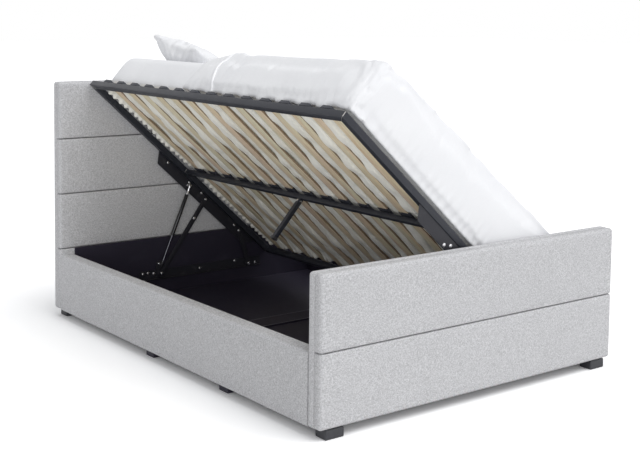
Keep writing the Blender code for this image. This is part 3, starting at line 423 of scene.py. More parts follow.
class Finishes:
    """All the bed's materials, each built once."""

    def __init__(self) -> None:
        """Build every material."""
        self.weave = HeatheredWeave().build()
        self.board = LaminatedBoard().build()
        self.steel = PowderCoat().build()
        self.arm_steel = PowderCoat("black_powder_coat", (0.022, 0.022, 0.028), (0.07, 0.07, 0.08),
                                    0.34).build()
        self.enamel = PowderCoat("gloss_black_enamel", (0.012, 0.012, 0.015), (0.03, 0.03, 0.035),
                                 0.18).build()
        self.rod = BrightMetal("polished_rod_steel", (0.10, 0.10, 0.115), 0.24).build()
        # Pale weld metal: bare welds, and partly a painted highlight along the frame's joints.
        self.weld = BrightMetal("weld_steel", (0.42, 0.41, 0.40), 0.38).build()
        self.zinc = BrightMetal("zinc_plating", (0.84, 0.84, 0.86), 0.24).build()
        self.plastic = MouldedPlastic().build()
        self.cap_plastic = MouldedPlastic("slat_cap_plastic", (0.028, 0.030, 0.040), 0.50).build()
        # Pale plastic for strips that paint a highlight along the cross supports' edges.
        self.edging = MouldedPlastic("edging_plastic", (0.14, 0.14, 0.165), 0.36).build()
        self.beech = BeechVeneer().build()
        self.cotton = SmoothCotton().build()
        self.ticking = SmoothCotton("mattress_ticking", (0.94, 0.93, 0.86), (0.78, 0.74, 0.62),
                                    crease_cells=22.0).build()


# Shaping


def linked(name: str, data: bpy.types.ID) -> bpy.types.Object:
    """Put a new object that carries some data into the scene.

    Args:
        name: the object's name.
        data: its mesh, curve, lamp or camera.

    Returns:
        The new object.
    """
    item = bpy.data.objects.new(name, data)
    bpy.context.scene.collection.objects.link(item)
    return item


def installed(item: bpy.types.Object, body: Body, nodes: Sequence[str] = ()) -> None:
    """Put a piece on its body, and hide the CAD nodes that it stands for.

    Args:
        item: the finished piece.
        body: the body that it rides on.
        nodes: the CAD nodes that it replaces.
    """
    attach(item, body.value)
    if nodes:
        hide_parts(*nodes)
    LOG.info("%s: %d faces on %s", item.name, len(item.data.polygons), body.value)


def wander(*place: float) -> float:
    """Smooth noise at a place that is given in cells."""
    return noise.noise(Vector(place))


def drawn(place: Corner, scale: float, depth: float) -> float:
    """Smooth noise of a depth at a number of cells per metre."""
    return wander(*(Vector(place) * scale)) * depth


def eased(value: float) -> float:
    """A share from 0 to 1 with a smooth start and end."""
    value = min(1.0, max(0.0, value))
    return value * value * (3 - 2 * value)


def rounded(corners: Sequence[tuple[float, float, float]], steps: int = 5) -> list[Flat]:
    """Round the corners of an outline by arcs.

    Args:
        corners: x, z and radius of each corner in turn.
        steps: faces across each arc.

    Returns:
        The rounded outline.
    """
    points: list[Flat] = []
    for index, (x, z, radius) in enumerate(corners):
        corner = Vector((x, z))
        before = (Vector(corners[index - 1][:2]) - corner).normalized()
        after = (Vector(corners[(index + 1) % len(corners)][:2]) - corner).normalized()
        half = before.angle(after) / 2
        reach = radius / math.tan(half)
        middle = corner + (before + after).normalized() * (radius / math.sin(half))
        first, last = corner + before * reach - middle, corner + after * reach - middle
        for step in range(steps + 1):
            points.append(tuple(middle + first.lerp(last, step / steps).normalized() * radius))
    return points


def rounded_box(low: Flat, high: Flat, low_round: float, high_round: float, steps: int = 5) -> list[Flat]:
    """Outline a box between two corners, its lower and its upper corners rounded.

    Args:
        low: its least x and z.
        high: its greatest x and z.
        low_round: the radius of the lower corners.
        high_round: the radius of the upper corners.
        steps: faces across each arc.

    Returns:
        The outline.
    """
    return rounded([(low[0], low[1], low_round), (high[0], low[1], low_round),
                    (high[0], high[1], high_round), (low[0], high[1], high_round)], steps)


class Form:
    """A mesh under construction, shaped by bmesh operators."""

    def __init__(self) -> None:
        """Start with nothing."""
        self.mesh = bmesh.new()

    def bevel(self, edges: Iterable[bmesh.types.BMEdge], width: float, segments: int = 2) -> None:
        """Round a set of edges."""
        bmesh.ops.bevel(self.mesh, geom=list(edges), offset=width, offset_type="OFFSET", affect="EDGES",
                        segments=segments, profile=0.5, material=-1, clamp_overlap=True)

    def block(self, low: Corner, high: Corner, edge: float = 0.0, segments: int = 2,
              narrow: float = 1.0) -> None:
        """Add a box.

        Args:
            low: its lowest corner.
            high: its highest corner.
            edge: the radius of its edges.
            segments: faces across each rounded edge.
            narrow: its top's share of its size along Y.
        """
        low, high = Vector(low), Vector(high)
        middle = (low + high) / 2
        place = Matrix.Translation(middle) @ Matrix.Diagonal((*(high - low), 1))
        made = bmesh.ops.create_cube(self.mesh, size=1, matrix=place)["verts"]
        for vertex in made:
            if vertex.co.z > middle.z:
                vertex.co.y = middle.y + (vertex.co.y - middle.y) * narrow
        if edge:
            self.bevel({e for v in made for e in v.link_edges}, edge, segments)

    def barrel(self, start: Vector, finish: Vector, radius: float, sides: int = 24, edge: float = 0.0,
               narrow: float = 1.0) -> None:
        """Add a round bar.

        Args:
            start: the middle of its first end.
            finish: the middle of its last end.
            radius: its radius.
            sides: faces round it.
            edge: the radius of its end edges.
            narrow: the last end's share of the radius.
        """
        line = finish - start
        turn = UP.rotation_difference(line).to_matrix().to_4x4()
        place = Matrix.Translation((start + finish) / 2) @ turn
        made = bmesh.ops.create_cone(self.mesh, cap_ends=True, segments=sides, radius1=radius,
                                     radius2=radius * narrow, depth=line.length, matrix=place)["verts"]
        if edge:
            faces = {f for v in made for f in v.link_faces if len(f.verts) > 4}
            self.bevel({e for f in faces for e in f.edges}, edge)

    def join(self, part: "Form") -> None:
        """Take another form's mesh in.

        Args:
            part: the other form, which is used up.
        """
        mesh = bpy.data.meshes.new("part")
        part.mesh.to_mesh(mesh)
        part.mesh.free()
        self.mesh.from_mesh(mesh)
        bpy.data.meshes.remove(mesh)

    def turned(self, profile: Sequence[Flat], start: Vector, axis: Vector, sides: int = 24) -> None:
        """Spin a profile about an axis.

        Args:
            profile: steps of radius and height.
            start: the place of height 0 on the axis.
            axis: the way in which height grows.
            sides: faces round the axis.
        """
        part = Form()
        made = [part.mesh.verts.new((radius, 0, height)) for radius, height in profile]
        edges = [part.mesh.edges.new(pair) for pair in zip(made, made[1:])]
        bmesh.ops.spin(part.mesh, geom=made + edges, cent=(0, 0, 0), axis=(0, 0, 1), steps=sides,
                       angle=2 * math.pi, use_merge=True, dvec=(0, 0, 0))
        bmesh.ops.remove_doubles(part.mesh, verts=part.mesh.verts, dist=MERGED)
        part.turn(Matrix.Translation(start) @ UP.rotation_difference(axis).to_matrix().to_4x4())
        self.join(part)

    def plate(self, outline: Sequence[Flat], y_low: float, y_high: float, edge: float = 0.0) -> None:
        """Add a flat plate.

        Args:
            outline: its corners in X and Z.
            y_low: the Y of its first face.
            y_high: the Y of its last face.
            edge: the radius of all its edges.
        """
        corners = [self.mesh.verts.new((x, y_low, z)) for x, z in outline]
        face = self.mesh.faces.new(corners)
        grown = bmesh.ops.extrude_face_region(self.mesh, geom=[face])["geom"]
        moved = [g for g in grown if isinstance(g, bmesh.types.BMVert)]
        bmesh.ops.translate(self.mesh, vec=(0, y_high - y_low, 0), verts=moved)
        if edge:
            self.bevel({e for v in corners + moved for e in v.link_edges}, edge)

    def slice(self, place: Vector, normal: Vector, clear: bool = False) -> None:
        """Cut the mesh by a plane.

        Args:
            place: a point of the plane.
            normal: the way that it looks.
            clear: True to clear and close the side that the normal points to.
        """
        everything = self.mesh.verts[:] + self.mesh.edges[:] + self.mesh.faces[:]
        cut = bmesh.ops.bisect_plane(self.mesh, geom=everything, plane_co=place, plane_no=normal,
                                     clear_outer=clear)["geom_cut"]
        if clear:
            edges = [g for g in cut if isinstance(g, bmesh.types.BMEdge)]
            bmesh.ops.holes_fill(self.mesh, edges=edges, sides=0)

    def grid_cuts(self, axis: int, spacing: float) -> None:
        """Cut the mesh by parallel planes.

        Args:
            axis: 0, 1 or 2 for planes across X, Y or Z.
            spacing: about how far apart they are.
        """
        values = [v.co[axis] for v in self.mesh.verts]
        low, high = min(values), max(values)
        count = max(1, round((high - low) / spacing))
        normal = Vector([1.0 if index == axis else 0.0 for index in range(3)])
        for step in range(1, count):
            self.slice(normal * (low + (high - low) * step / count), normal)

    def move(self, shift: Callable[[Vector], Vector]) -> None:
        """Move every vertex by a function of its place."""
        for vertex in self.mesh.verts:
            vertex.co += shift(vertex.co)

    def turn(self, matrix: Matrix) -> None:
        """Transform the whole mesh."""
        bmesh.ops.transform(self.mesh, matrix=matrix, verts=self.mesh.verts)

    def made(self, name: str, finish: bpy.types.Material, crease: float = 35.0) -> bpy.types.Object:
        """Close the form.

        Args:
            name: the piece's name.
            finish: its material.
            crease: edges sharper than this many degrees stay hard.

        Returns:
            The finished object, at the origin.
        """
        bmesh.ops.remove_doubles(self.mesh, verts=self.mesh.verts, dist=MERGED)
        bmesh.ops.recalc_face_normals(self.mesh, faces=self.mesh.faces)
        mesh = bpy.data.meshes.new(name)
        self.mesh.to_mesh(mesh)
        self.mesh.free()
        mesh.materials.append(finish)
        mesh.shade_smooth()
        mesh.set_sharp_from_angle(angle=math.radians(crease))
        return linked(name, mesh)


# Upholstery


@dataclass
class UpholsteredPads:
    """Headboard and footboard: foam-backed panels in weave over a covered core."""

    finishes: Finishes
    nodes: tuple[str, ...] = ("headboard_core", "headboard_lower_pad", "headboard_panel_1",
                              "headboard_panel_2", "headboard_panel_3", "footboard_core",
                              "footboard_lower_pad", "footboard_upper_pad")
    seam_above: tuple[str, ...] = ("headboard_lower_pad", "headboard_panel_1", "headboard_panel_2",
                                   "footboard_lower_pad")
    edge: float = 0.013
    seam_edge: float = 0.007
    hidden_edge: float = 0.0005
    least_soft: float = 0.004
    crown: float = 0.0016
    slack: float = 0.0006
    slack_cells: float = 7.0
    cut: float = 0.045
    seam: float = 0.0011
    crease: float = 50.0
    sharp_angle: float = 1.2

    def pad(self, node: str) -> None:
        """Build one covered block; a core shows its face towards +Y, and the others towards -Y.

        Args:
            node: the CAD node that it stands for.
        """
        low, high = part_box(node)
        front = 1 if "core" in node else -1
        if front < 0:
            low.z += self.seam
            high.z -= self.seam
        form = Form()
        form.block(low, high)
        rear = high.y if front < 0 else low.y
        seams = [high.z] * (node in self.seam_above) + [low.z] * (front < 0 and "lower" not in node)

        def kind(edge: bmesh.types.BMEdge) -> PadEdge:
            """Say where an edge lies.

            Args:
                edge: an edge of the block.

            Returns:
                Its kind.
            """
            if all(abs(v.co.y - rear) < SAME for v in edge.verts):
                return PadEdge.REAR
            on_seam = any(all(abs(v.co.z - z) < SAME for v in edge.verts) for z in seams)
            return PadEdge.SEAM if on_seam else PadEdge.OUTER

        for width, chosen in ((self.edge, PadEdge.OUTER), (self.seam_edge, PadEdge.SEAM),
                              (self.hidden_edge, PadEdge.REAR)):
            edges = [e for e in form.mesh.edges if len(e.link_faces) == 2
                     and e.calc_face_angle(0) > self.sharp_angle and kind(e) is chosen]
            form.bevel(edges, width, 5 if width > self.least_soft else 1)
        for axis in (0, 2):
            form.grid_cuts(axis, self.cut)
        middle, half = (low + high) / 2, (high - low) / 2

        def soften(place: Vector) -> Vector:
            """Let the shown face swell and wander.

            Args:
                place: a vertex's place.

            Returns:
                The vertex's way.
            """
            if abs(place.y - rear) <= (high.y - low.y) * 0.6:
                return STILL
            across, up = (place.x - middle.x) / half.x, (place.z - middle.z) / half.z
            swell = self.crown * (1 - across ** 8) * (1 - up ** 6)
            return Vector((0, front * (swell + drawn(place, self.slack_cells, self.slack)), 0))

        form.move(soften)
        piece = form.made(node.replace("core", "cover") + "_weave", self.finishes.weave, self.crease)
        installed(piece, Body.BASE, [node])

    def build(self) -> None:
        """Build every pad of the headboard and the footboard."""
        for node in self.nodes:
            self.pad(node)


@dataclass
class SideRails:
    """Covered side rails whose weave turns over the top and is stapled inside."""

    finishes: Finishes
    cap_depth: float = 0.025
    board: float = 0.018
    edge: float = 0.014
    slack: float = 0.0009
    slack_cells: float = 6.0
    slack_depth: float = 0.02
    cut: float = 0.05
    crease: float = 50.0

    def rail(self, side: str, sign: int) -> None:
        """Build one rail's cover.

        Args:
            side: near or far.
            sign: the way along X from the bed's middle to the rail.
        """
        node = f"{side}_rail_cover"
        low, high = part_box(node)
        outer = sign * max(abs(low.x), abs(high.x))
        inner = sign * min(abs(low.x), abs(high.x))
        lining = inner + sign * (self.board + HAIR)
        top, shoulder = high.z, high.z - self.cap_depth
        form = Form()
        form.plate([(outer, low.z), (outer, top), (inner, top), (inner, shoulder), (lining, shoulder),
                    (lining, low.z)], low.y, high.y)
        form.bevel([e for e in form.mesh.edges if all(abs(v.co.z - top) < SAME for v in e.verts)
                    and abs(e.verts[0].co.y - e.verts[1].co.y) > self.cut], self.edge, 5)
        form.bevel([e for e in form.mesh.edges
                    if all(abs(v.co.z - low.z) < SAME and abs(v.co.x - outer) < SAME for v in e.verts)],
                   self.edge / 2, 3)
        form.grid_cuts(1, self.cut)
        form.grid_cuts(2, self.cut)

        def soften(place: Vector) -> Vector:
            """How far the outer face wanders at a place."""
            outside = abs(place.x - outer) < self.slack_depth
            return Vector((sign * drawn(place, self.slack_cells, self.slack), 0, 0)) if outside else STILL

        form.move(soften)
        piece = form.made(f"{node}_weave", self.finishes.weave, self.crease)
        installed(piece, Body.BASE, [node])

    def build(self) -> None:
        """Build the near and the far rail's cover."""
        for side, sign in (("near", -1), ("far", 1)):
            self.rail(side, sign)


# Storage base


@dataclass
class StorageBase:
    """The boards, feet and corner angles, which keep their CAD shape, and pale strips that paint a highlight
    on the supports' edges.
    """

    finishes: Finishes
    lip_inset: float = 0.020
    lip_margin: float = 0.002
    lip_width: float = 0.005
    lip_rise: float = 0.0010
    lip_edge: float = 0.0004

    def dress(self) -> None:
        """Give each kept CAD node its material."""
        corners = [f"{side}_{end.label}_corner" for side in ("near", "far") for end in End]
        kinds = {
            self.finishes.board: ("near_rail_board", "far_rail_board", "head_end_board", "foot_end_board",
                                  "floor_board_1", "floor_board_2", "floor_board_3", "cross_support_1",
                                  "cross_support_2"),
            self.finishes.plastic: [f"{corner}_foot" for corner in corners],
            self.finishes.arm_steel: [f"{corner}_angle" for corner in corners],
        }
        for finish, names in kinds.items():
            for name in names:
                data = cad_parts[name].data
                data.materials.clear()
                data.materials.append(finish)
            LOG.info("%s on %d CAD nodes", finish.name, len(names))

    def edgings(self) -> None:
        """Lay a pale strip along both edges of each cross support, where the floor boards end, as a painted
        highlight on those edges.
        """
        strips = Form()
        boards = [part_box(f"floor_board_{number}") for number in (1, 2, 3)]
        for number, (before, after) in enumerate(zip(boards, boards[1:]), 1):
            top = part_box(f"cross_support_{number}")[1].z + HAIR
            low_x, high_x = before[0].x + self.lip_inset, before[1].x - self.lip_inset
            for y in (before[1].y + self.lip_margin, after[0].y - self.lip_margin - self.lip_width):
                strips.block((low_x, y, top), (high_x, y + self.lip_width, top + self.lip_rise),
                             self.lip_edge)
        installed(strips.made("cross_support_edgings", self.finishes.edging), Body.BASE)

    def build(self) -> None:
        """Dress the CAD nodes and lay the pale strips of painted highlight."""
        self.dress()
        self.edgings()


# Deck


class DeckPlane:
    """The raised deck's own directions: x in from its near edge, y along the bed, z out of its top."""

    def __init__(self) -> None:
        """Find the deck's near top edge and its frame's corners from the CAD frame."""
        turn = Matrix.Rotation(TILT, 4, "Y")
        back = turn.inverted()
        places = [back @ v.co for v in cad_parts["deck_frame"].data.vertices]
        edge = Vector((min(p.x for p in places), 0, max(p.z for p in places)))
        self.matrix = turn @ Matrix.Translation(edge)
        self.inverse = self.matrix.inverted()
        self.low, self.high = self.limits("deck_frame")

    def limits(self, node: str) -> tuple[Vector, Vector]:
        """Measure a CAD node in the deck's directions.

        Args:
            node: its name.

        Returns:
            Its lowest and its highest corner.
        """
        places = [self.inverse @ v.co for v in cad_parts[node].data.vertices]
        return (Vector([min(p[axis] for p in places) for axis in range(3)]),
                Vector([max(p[axis] for p in places) for axis in range(3)]))

    def raised(self, form: Form, name: str, finish: bpy.types.Material, slot: Slot = Slot.STEEL,
               nodes: Sequence[str] = ()) -> None:
        """Turn a form from the deck's directions to its place, and fix it to the deck.

        Args:
            form: the form, which is used up.
            name: the piece's name.
            finish: its material.
            slot: its material slot; not used.
            nodes: the CAD nodes that it replaces.
        """
        form.turn(self.matrix)
        installed(form.made(name, finish), Body.DECK, nodes)


@dataclass
class DeckFrame:
    """The welded frame of square tube, its middle rail and its leg."""

    finishes: Finishes
    plane: DeckPlane
    tube: float = 0.030
    height: float = 0.028
    edge: float = 0.003
    rail_width: float = 0.020
    rail_height: float = 0.025
    rail_drop: float = 0.003
    joint: float = 0.0005
    bead: float = 0.0022
    bead_sides: int = 8
    leg_inset: float = 0.002
    leg_edge: float = 0.0015
    shoe_height: float = 0.012
    shoe_share: float = 0.8
    side_bolt_drop: float = 0.012
    foot_bolt_drop: float = 0.010
    bolt_height: float = 0.003
    bolt_radius: float = 0.0052
    bolt_edge: float = 0.0008
    bolt_sides: int = 16

    def corners(self) -> list[tuple[Vector, Vector]]:
        """The rim's four corners, each with its way inwards."""
        low, high = self.plane.low, self.plane.high
        return [(Vector((x, y, 0)), Vector((x_way, y_way, 0)))
                for x, x_way in ((low.x, 1), (high.x, -1)) for y, y_way in ((low.y, 1), (high.y, -1))]

    def rim_tube(self, form: Form, along: int, low: Vector, high: Vector) -> None:
        """Add one tube of the rim, mitred at both ends.

        Args:
            form: the form that takes it.
            along: 0 for a tube along X, 1 along Y.
            low: its lowest corner.
            high: its highest corner.
        """
        part = Form()
        part.block(low, high, self.edge, 3)
        for corner, way in self.corners():
            off_line = (corner - (low + high) / 2)[1 - along]
            if abs(off_line) < self.tube:
                out = Vector((way.x, -way.y, 0)) * (-1 if along == 1 else 1)
                part.slice(corner - out.normalized() * self.joint, -out, True)
        form.join(part)

    def rim(self) -> None:
        """Build the rim and the middle rail."""
        low, high, base = self.plane.low, self.plane.high, -self.height
        form = Form()
        for x in (low.x, high.x - self.tube):
            self.rim_tube(form, 1, Vector((x, low.y, base)), Vector((x + self.tube, high.y, 0)))
        for y in (low.y, high.y - self.tube):
            self.rim_tube(form, 0, Vector((low.x, y, base)), Vector((high.x, y + self.tube, 0)))
        middle, half = (low.x + high.x) / 2, self.rail_width / 2
        form.block((middle - half, low.y + self.tube - HAIR, -self.rail_height),
                   (middle + half, high.y - self.tube + HAIR, -self.rail_drop), self.edge / 2)
        self.plane.raised(form, "deck_frame_tubes", self.finishes.steel, nodes=["deck_frame"])

    def welds(self) -> None:
        """Build the weld beads at the rim's corners and at the middle rail's ends; their pale metal partly
        paints highlights on the joints.
        """
        low, high, base = self.plane.low, self.plane.high, -self.height
        beads = Form()
        for corner, way in self.corners():
            for z in (0.0, base):
                start, end = corner + way * self.edge, corner + way * (self.tube - self.edge)
                beads.barrel(start + UP * z, end + UP * z, self.bead / 2, self.bead_sides)
            outside = corner + way * self.bead
            beads.barrel(outside + UP * (base + self.edge), outside - UP * self.edge, self.bead,
                         self.bead_sides)
        middle, half = (low.x + high.x) / 2, self.rail_width / 2
        for y in (low.y + self.tube, high.y - self.tube):
            for x in (middle - half, middle + half):
                beads.barrel(Vector((x, y, -self.rail_height)), Vector((x, y, -self.rail_drop)),
                             self.bead / 2, self.bead_sides)
        self.plane.raised(beads, "deck_frame_welds", self.finishes.weld)

    def leg(self) -> None:
        """Build the drop leg under the middle rail, with its shoe and its bolts."""
        low, high = self.plane.limits("deck_leg")
        middle, inset = (low + high) / 2, self.leg_inset
        leg = Form()
        leg.block((low.x + inset, low.y + inset, low.z + self.shoe_height * self.shoe_share),
                  (high.x - inset, high.y - inset, high.z), self.leg_edge)
        self.plane.raised(leg, "deck_leg_tube", self.finishes.steel, nodes=["deck_leg"])
        shoe = Form()
        shoe.block(low, (high.x, high.y, low.z + self.shoe_height), self.leg_edge)
        self.plane.raised(shoe, "deck_leg_shoe", self.finishes.plastic)
        bolts = Form()
        for x, y, drop, way in ((low.x + inset, middle.y, self.side_bolt_drop, (-1, 0, 0)),
                                (high.x - inset, middle.y, self.side_bolt_drop, (1, 0, 0)),
                                (middle.x, low.y + inset, self.foot_bolt_drop, (0, -1, 0))):
            start = Vector((x, y, high.z - drop))
            bolts.barrel(start, start + Vector(way) * self.bolt_height, self.bolt_radius,
                         self.bolt_sides, self.bolt_edge)
        self.plane.raised(bolts, "deck_leg_bolts", self.finishes.zinc)

    def build(self) -> None:
        """Build the rim, the weld beads and the leg."""
        self.rim()
        self.welds()
        self.leg()


@dataclass
class SlatRows:
    """Sprung beech slats in pairs, held by moulded caps on the tubes and over the middle rail."""

    finishes: Finishes
    plane: DeckPlane
    count: int = 14
    slat_width: float = 0.055
    slat_thickness: float = 0.009
    slat_edge: float = 0.0022
    slat_grip: float = 0.023
    cut: float = 0.05
    cap_depth: float = 0.026
    cap_wall: float = 0.002
    cap_edge: float = 0.0012
    cap_gap: float = 0.001
    cap_narrow: float = 0.80
    bow: float = 0.0035
    splay: float = 0.0012

    def row(self, number: int) -> None:
        """Build one row's slats and caps.

        Args:
            number: the row's number, from the foot end.
        """
        node = f"slat_row_{number}"
        low, high = self.plane.limits(node)
        middle, run = (low + high) / 2, (low.x + high.x) / 2 - low.x
        floor, half = low.z + self.cap_wall, self.slat_width / 2
        slats = Form()
        for start, end in ((low.x + self.slat_grip, middle.x - self.slat_grip),
                           (middle.x + self.slat_grip, high.x - self.slat_grip)):
            slats.block((start, middle.y - half, floor), (end, middle.y + half, floor + self.slat_thickness),
                        self.slat_edge)
        slats.grid_cuts(0, self.cut)

        def sag(place: Vector) -> Vector:
            """Let a slat bow down and lie askew.

            Args:
                place: a vertex's place.

            Returns:
                The vertex's way.
            """
            share = (place.x - low.x) % run / run
            depth = self.bow * (0.6 + 0.4 * math.sin(number * 2.3)) * math.sin(math.pi * share) ** 2
            return Vector((0, drawn((place.x * 1.3, number * 3.7, 0), 2.0, self.splay), -depth))

        slats.move(sag)
        self.plane.raised(slats, f"beech_slats_{number}", self.finishes.beech, Slot.BEECH, [node])
        caps = Form()
        for start, end in ((low.x, low.x + self.cap_depth), (high.x - self.cap_depth, high.x),
                           (middle.x - self.cap_depth, middle.x - self.cap_gap),
                           (middle.x + self.cap_gap, middle.x + self.cap_depth)):
            caps.block((start, low.y, low.z), (end, high.y, high.z), self.cap_edge, narrow=self.cap_narrow)
        self.plane.raised(caps, f"slat_caps_{number}", self.finishes.cap_plastic, Slot.PLASTIC)

    def build(self) -> None:
        """Build every row."""
        for number in range(1, self.count + 1):
            self.row(number)


# Lift linkage


@dataclass
class LiftLinkage:
    """At each end: base angle, pivot plate, arms, gas strut and the bracket under the deck.

    A pivot is an X and a Z, and a depth is a way inwards from the end board's inner face.
    """

    finishes: Finishes
    plane: DeckPlane
    a0: Flat = (-0.226385, 0.146830)
    a1: Flat = (0.023129, 0.490258)
    b0: Flat = (0.287215, 0.136130)
    b1: Flat = (0.223914, 0.311085)
    s0: Flat = (-0.236485, 0.194130)
    s1: Flat = (-0.076528, 0.569225)
    arm_width: float = 0.024
    arm_thickness: float = 0.005
    arm_depth: float = 0.0125
    arm_round_share: float = 0.99
    rib_inset_share: float = 1.5
    rib_half: float = 0.004
    rib_round: float = 0.0038
    rib_rise: float = 0.0008
    rib_edge: float = 0.0004
    rib_sink: float = 0.0001
    rivet_swell: float = 1.1
    main_rivet_share: float = 0.74
    wall: float = 0.003
    flange: float = 0.011
    flange_edge: float = 0.0008
    plate_edge: float = 0.0006
    sharp: float = 0.002
    soft: float = 0.005
    base_above: float = 0.018
    base_height: float = 0.047
    base_near: float = 0.118
    base_far: float = 0.078
    pivot_reach: float = 0.015
    pivot_round: float = 0.012
    bracket_near: float = 0.495
    bracket_far: float = 1.2425
    bracket_top: float = 0.0283
    bracket_deep: float = 0.052
    bracket_slopes: Flat = (0.036, 0.060)
    bracket_rounds: tuple[float, ...] = (0.002, 0.002, 0.006, 0.012, 0.010)
    bracket_depth: float = 0.0085
    bolt_radius: float = 0.0060
    bolt_height: float = 0.0040
    bolt_dome: float = 0.0012
    bolt_narrow: float = 0.86
    bolt_sides: int = 20
    washer_share: float = 1.28
    washer_height: float = 0.0012
    washer_edge: float = 0.0003
    pin_radius: float = 0.0050
    boss_radius: float = 0.009
    collar_radius: float = 0.007
    collar_height: float = 0.003
    stud_radius: float = 0.004
    stud_short: float = 0.0069
    strut_depth: float = 0.033
    cylinder_sides: int = 32
    eye_half: float = 0.0062
    eye_radius: float = 0.0058
    eye_edge: float = 0.0008
    rod_start: float = 0.2400
    rod_radius: float = 0.0040
    rod_chamfer: float = 0.0004
    rod_short: float = 0.0165
    base_bolt_shares: tuple[Flat, ...] = ((0.03, 0.70), (0.07, 0.74), (0.115, 0.62), (0.487, 0.52),
                                          (0.78, 0.78), (0.957, 0.30))
    bracket_bolt_shares: tuple[Flat, ...] = ((0.105, 0.24), (0.320, 0.22), (0.445, 0.14), (0.800, 0.22))
    stop_bolts: tuple[Flat, ...] = ((0.6985, 0.0679), (0.7282, 0.0512))
    cylinder_profile: tuple[Flat, ...] = (
        (0, 0.0452), (0.0045, 0.0452), (0.0078, 0.0460), (0.0090, 0.0480), (0.0090, 0.2535),
        (0.0084, 0.2560), (0.0062, 0.2570), (0.0046, 0.2570), (0.0046, 0.1000), (0, 0.1000))
    upper_socket_profile: tuple[Flat, ...] = (
        (0, -0.0062), (0.0040, -0.0060), (0.0064, -0.0030), (0.0066, 0.0010), (0.0060, 0.0080),
        (0.0046, 0.0120), (0.0046, 0.0380), (0.0052, 0.0390), (0.0052, 0.0448), (0, 0.0448))
    lower_socket_profile: tuple[Flat, ...] = (
        (0, -0.0175), (0.0050, -0.0173), (0.0050, -0.0110), (0.0062, -0.0080), (0.0066, 0),
        (0.0058, 0.0050), (0, 0.0062))

    def y_at(self, end: End, depth: float) -> float:
        """Y at a depth."""
        low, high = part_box(f"{end.label}_end_board")
        return (low.y if end is End.HEAD else high.y) + end.inwards * depth

    def span(self, end: End, shallow: float, deep: float) -> list[float]:
        """The lower and the higher Y of two depths."""
        return sorted((self.y_at(end, shallow), self.y_at(end, deep)))

    def at(self, end: End, pivot: Flat, depth: float) -> Vector:
        """A place on a pivot's axis at a depth."""
        return Vector((pivot[0], self.y_at(end, depth), pivot[1]))

    def pin(self, form: Form, end: End, pivot: Flat, depths: Flat, radius: float, sides: int = 24,
            edge: float = 0.0) -> None:
        """Add a round bar on a pivot's axis between two depths."""
        form.barrel(self.at(end, pivot, depths[0]), self.at(end, pivot, depths[1]), radius, sides, edge)

    def stud(self, form: Form, end: End, pivot: Flat, seat: float) -> None:
        """Add the stud and collar on which a strut's socket sits.

        Args:
            form: the form that takes it.
            end: the end of the bed.
            pivot: the strut's pivot.
            seat: the depth of the face that it stands on.
        """
        collar = seat + self.collar_height
        self.pin(form, end, pivot, (seat, collar), self.collar_radius, edge=self.plate_edge)
        self.pin(form, end, pivot, (collar, self.strut_depth - self.stud_short), self.stud_radius,
                 self.bolt_sides)

    def bolt(self, form: Form, place: Vector, way: Vector, swell: float = 1.0) -> None:
        """Add a domed bolt head with a washer, seated on a face.

        Args:
            form: the form that takes it.
            place: the middle of its seat.
            way: the way that its head points.
            swell: how much wider than a plain bolt it is.
        """
        radius = self.bolt_radius * swell
        form.barrel(place - way * HAIR, place + way * self.washer_height, radius * self.washer_share,
                    self.bolt_sides, self.washer_edge)
        form.barrel(place + way * (self.washer_height - 0.5 * HAIR), place + way * self.bolt_height, radius,
                    self.bolt_sides, self.bolt_dome, self.bolt_narrow)

    def plates(self, end: End) -> None:
        """Build the base angle with its pivot plate, bolts and pins.

        Args:
            end: the end of the bed.
        """
        wall = self.wall
        top = self.a0[1] + self.base_above
        bottom = top - self.base_height
        near, far = self.a0[0] - self.base_near, self.b0[0] + self.base_far
        angle = Form()
        angle.plate(rounded_box((near, bottom), (far, top), self.sharp, self.soft),
                    *self.span(end, HAIR, wall))
        y_low, y_high = self.span(end, wall - HAIR, self.flange)
        angle.block((near, y_low, bottom), (far, y_high, bottom + wall), self.flange_edge, 1)
        left, right = sorted((self.a0[0], self.s0[0]))
        angle.plate(rounded_box((left - self.pivot_reach, bottom + 2 * wall),
                                (right + self.pivot_reach, self.s0[1] + self.pivot_reach), self.sharp,
                                self.pivot_round), *self.span(end, wall, 2 * wall), edge=self.plate_edge)
        installed(angle.made(f"{end.label}_base_angle", self.finishes.arm_steel), Body.BASE,
                  [f"{end.label}_base_plate"])

        way = Vector((0, end.inwards, 0))
        bolts = Form()
        for along, up in self.base_bolt_shares:
            place = (near + along * (far - near), bottom + up * (top - bottom))
            self.bolt(bolts, self.at(end, place, wall), way)
        pins, boss = self.arm_depth + self.arm_thickness + HAIR, self.arm_depth - HAIR
        self.pin(bolts, end, self.a0, (2 * wall, pins), self.pin_radius)
        self.pin(bolts, end, self.a0, (2 * wall, boss), self.boss_radius)
        self.bolt(bolts, self.at(end, self.a0, pins), way)
        self.pin(bolts, end, self.b0, (wall, boss), self.boss_radius)
        self.stud(bolts, end, self.s0, 2 * wall)
        installed(bolts.made(f"{end.label}_base_bolts", self.finishes.zinc), Body.BASE)

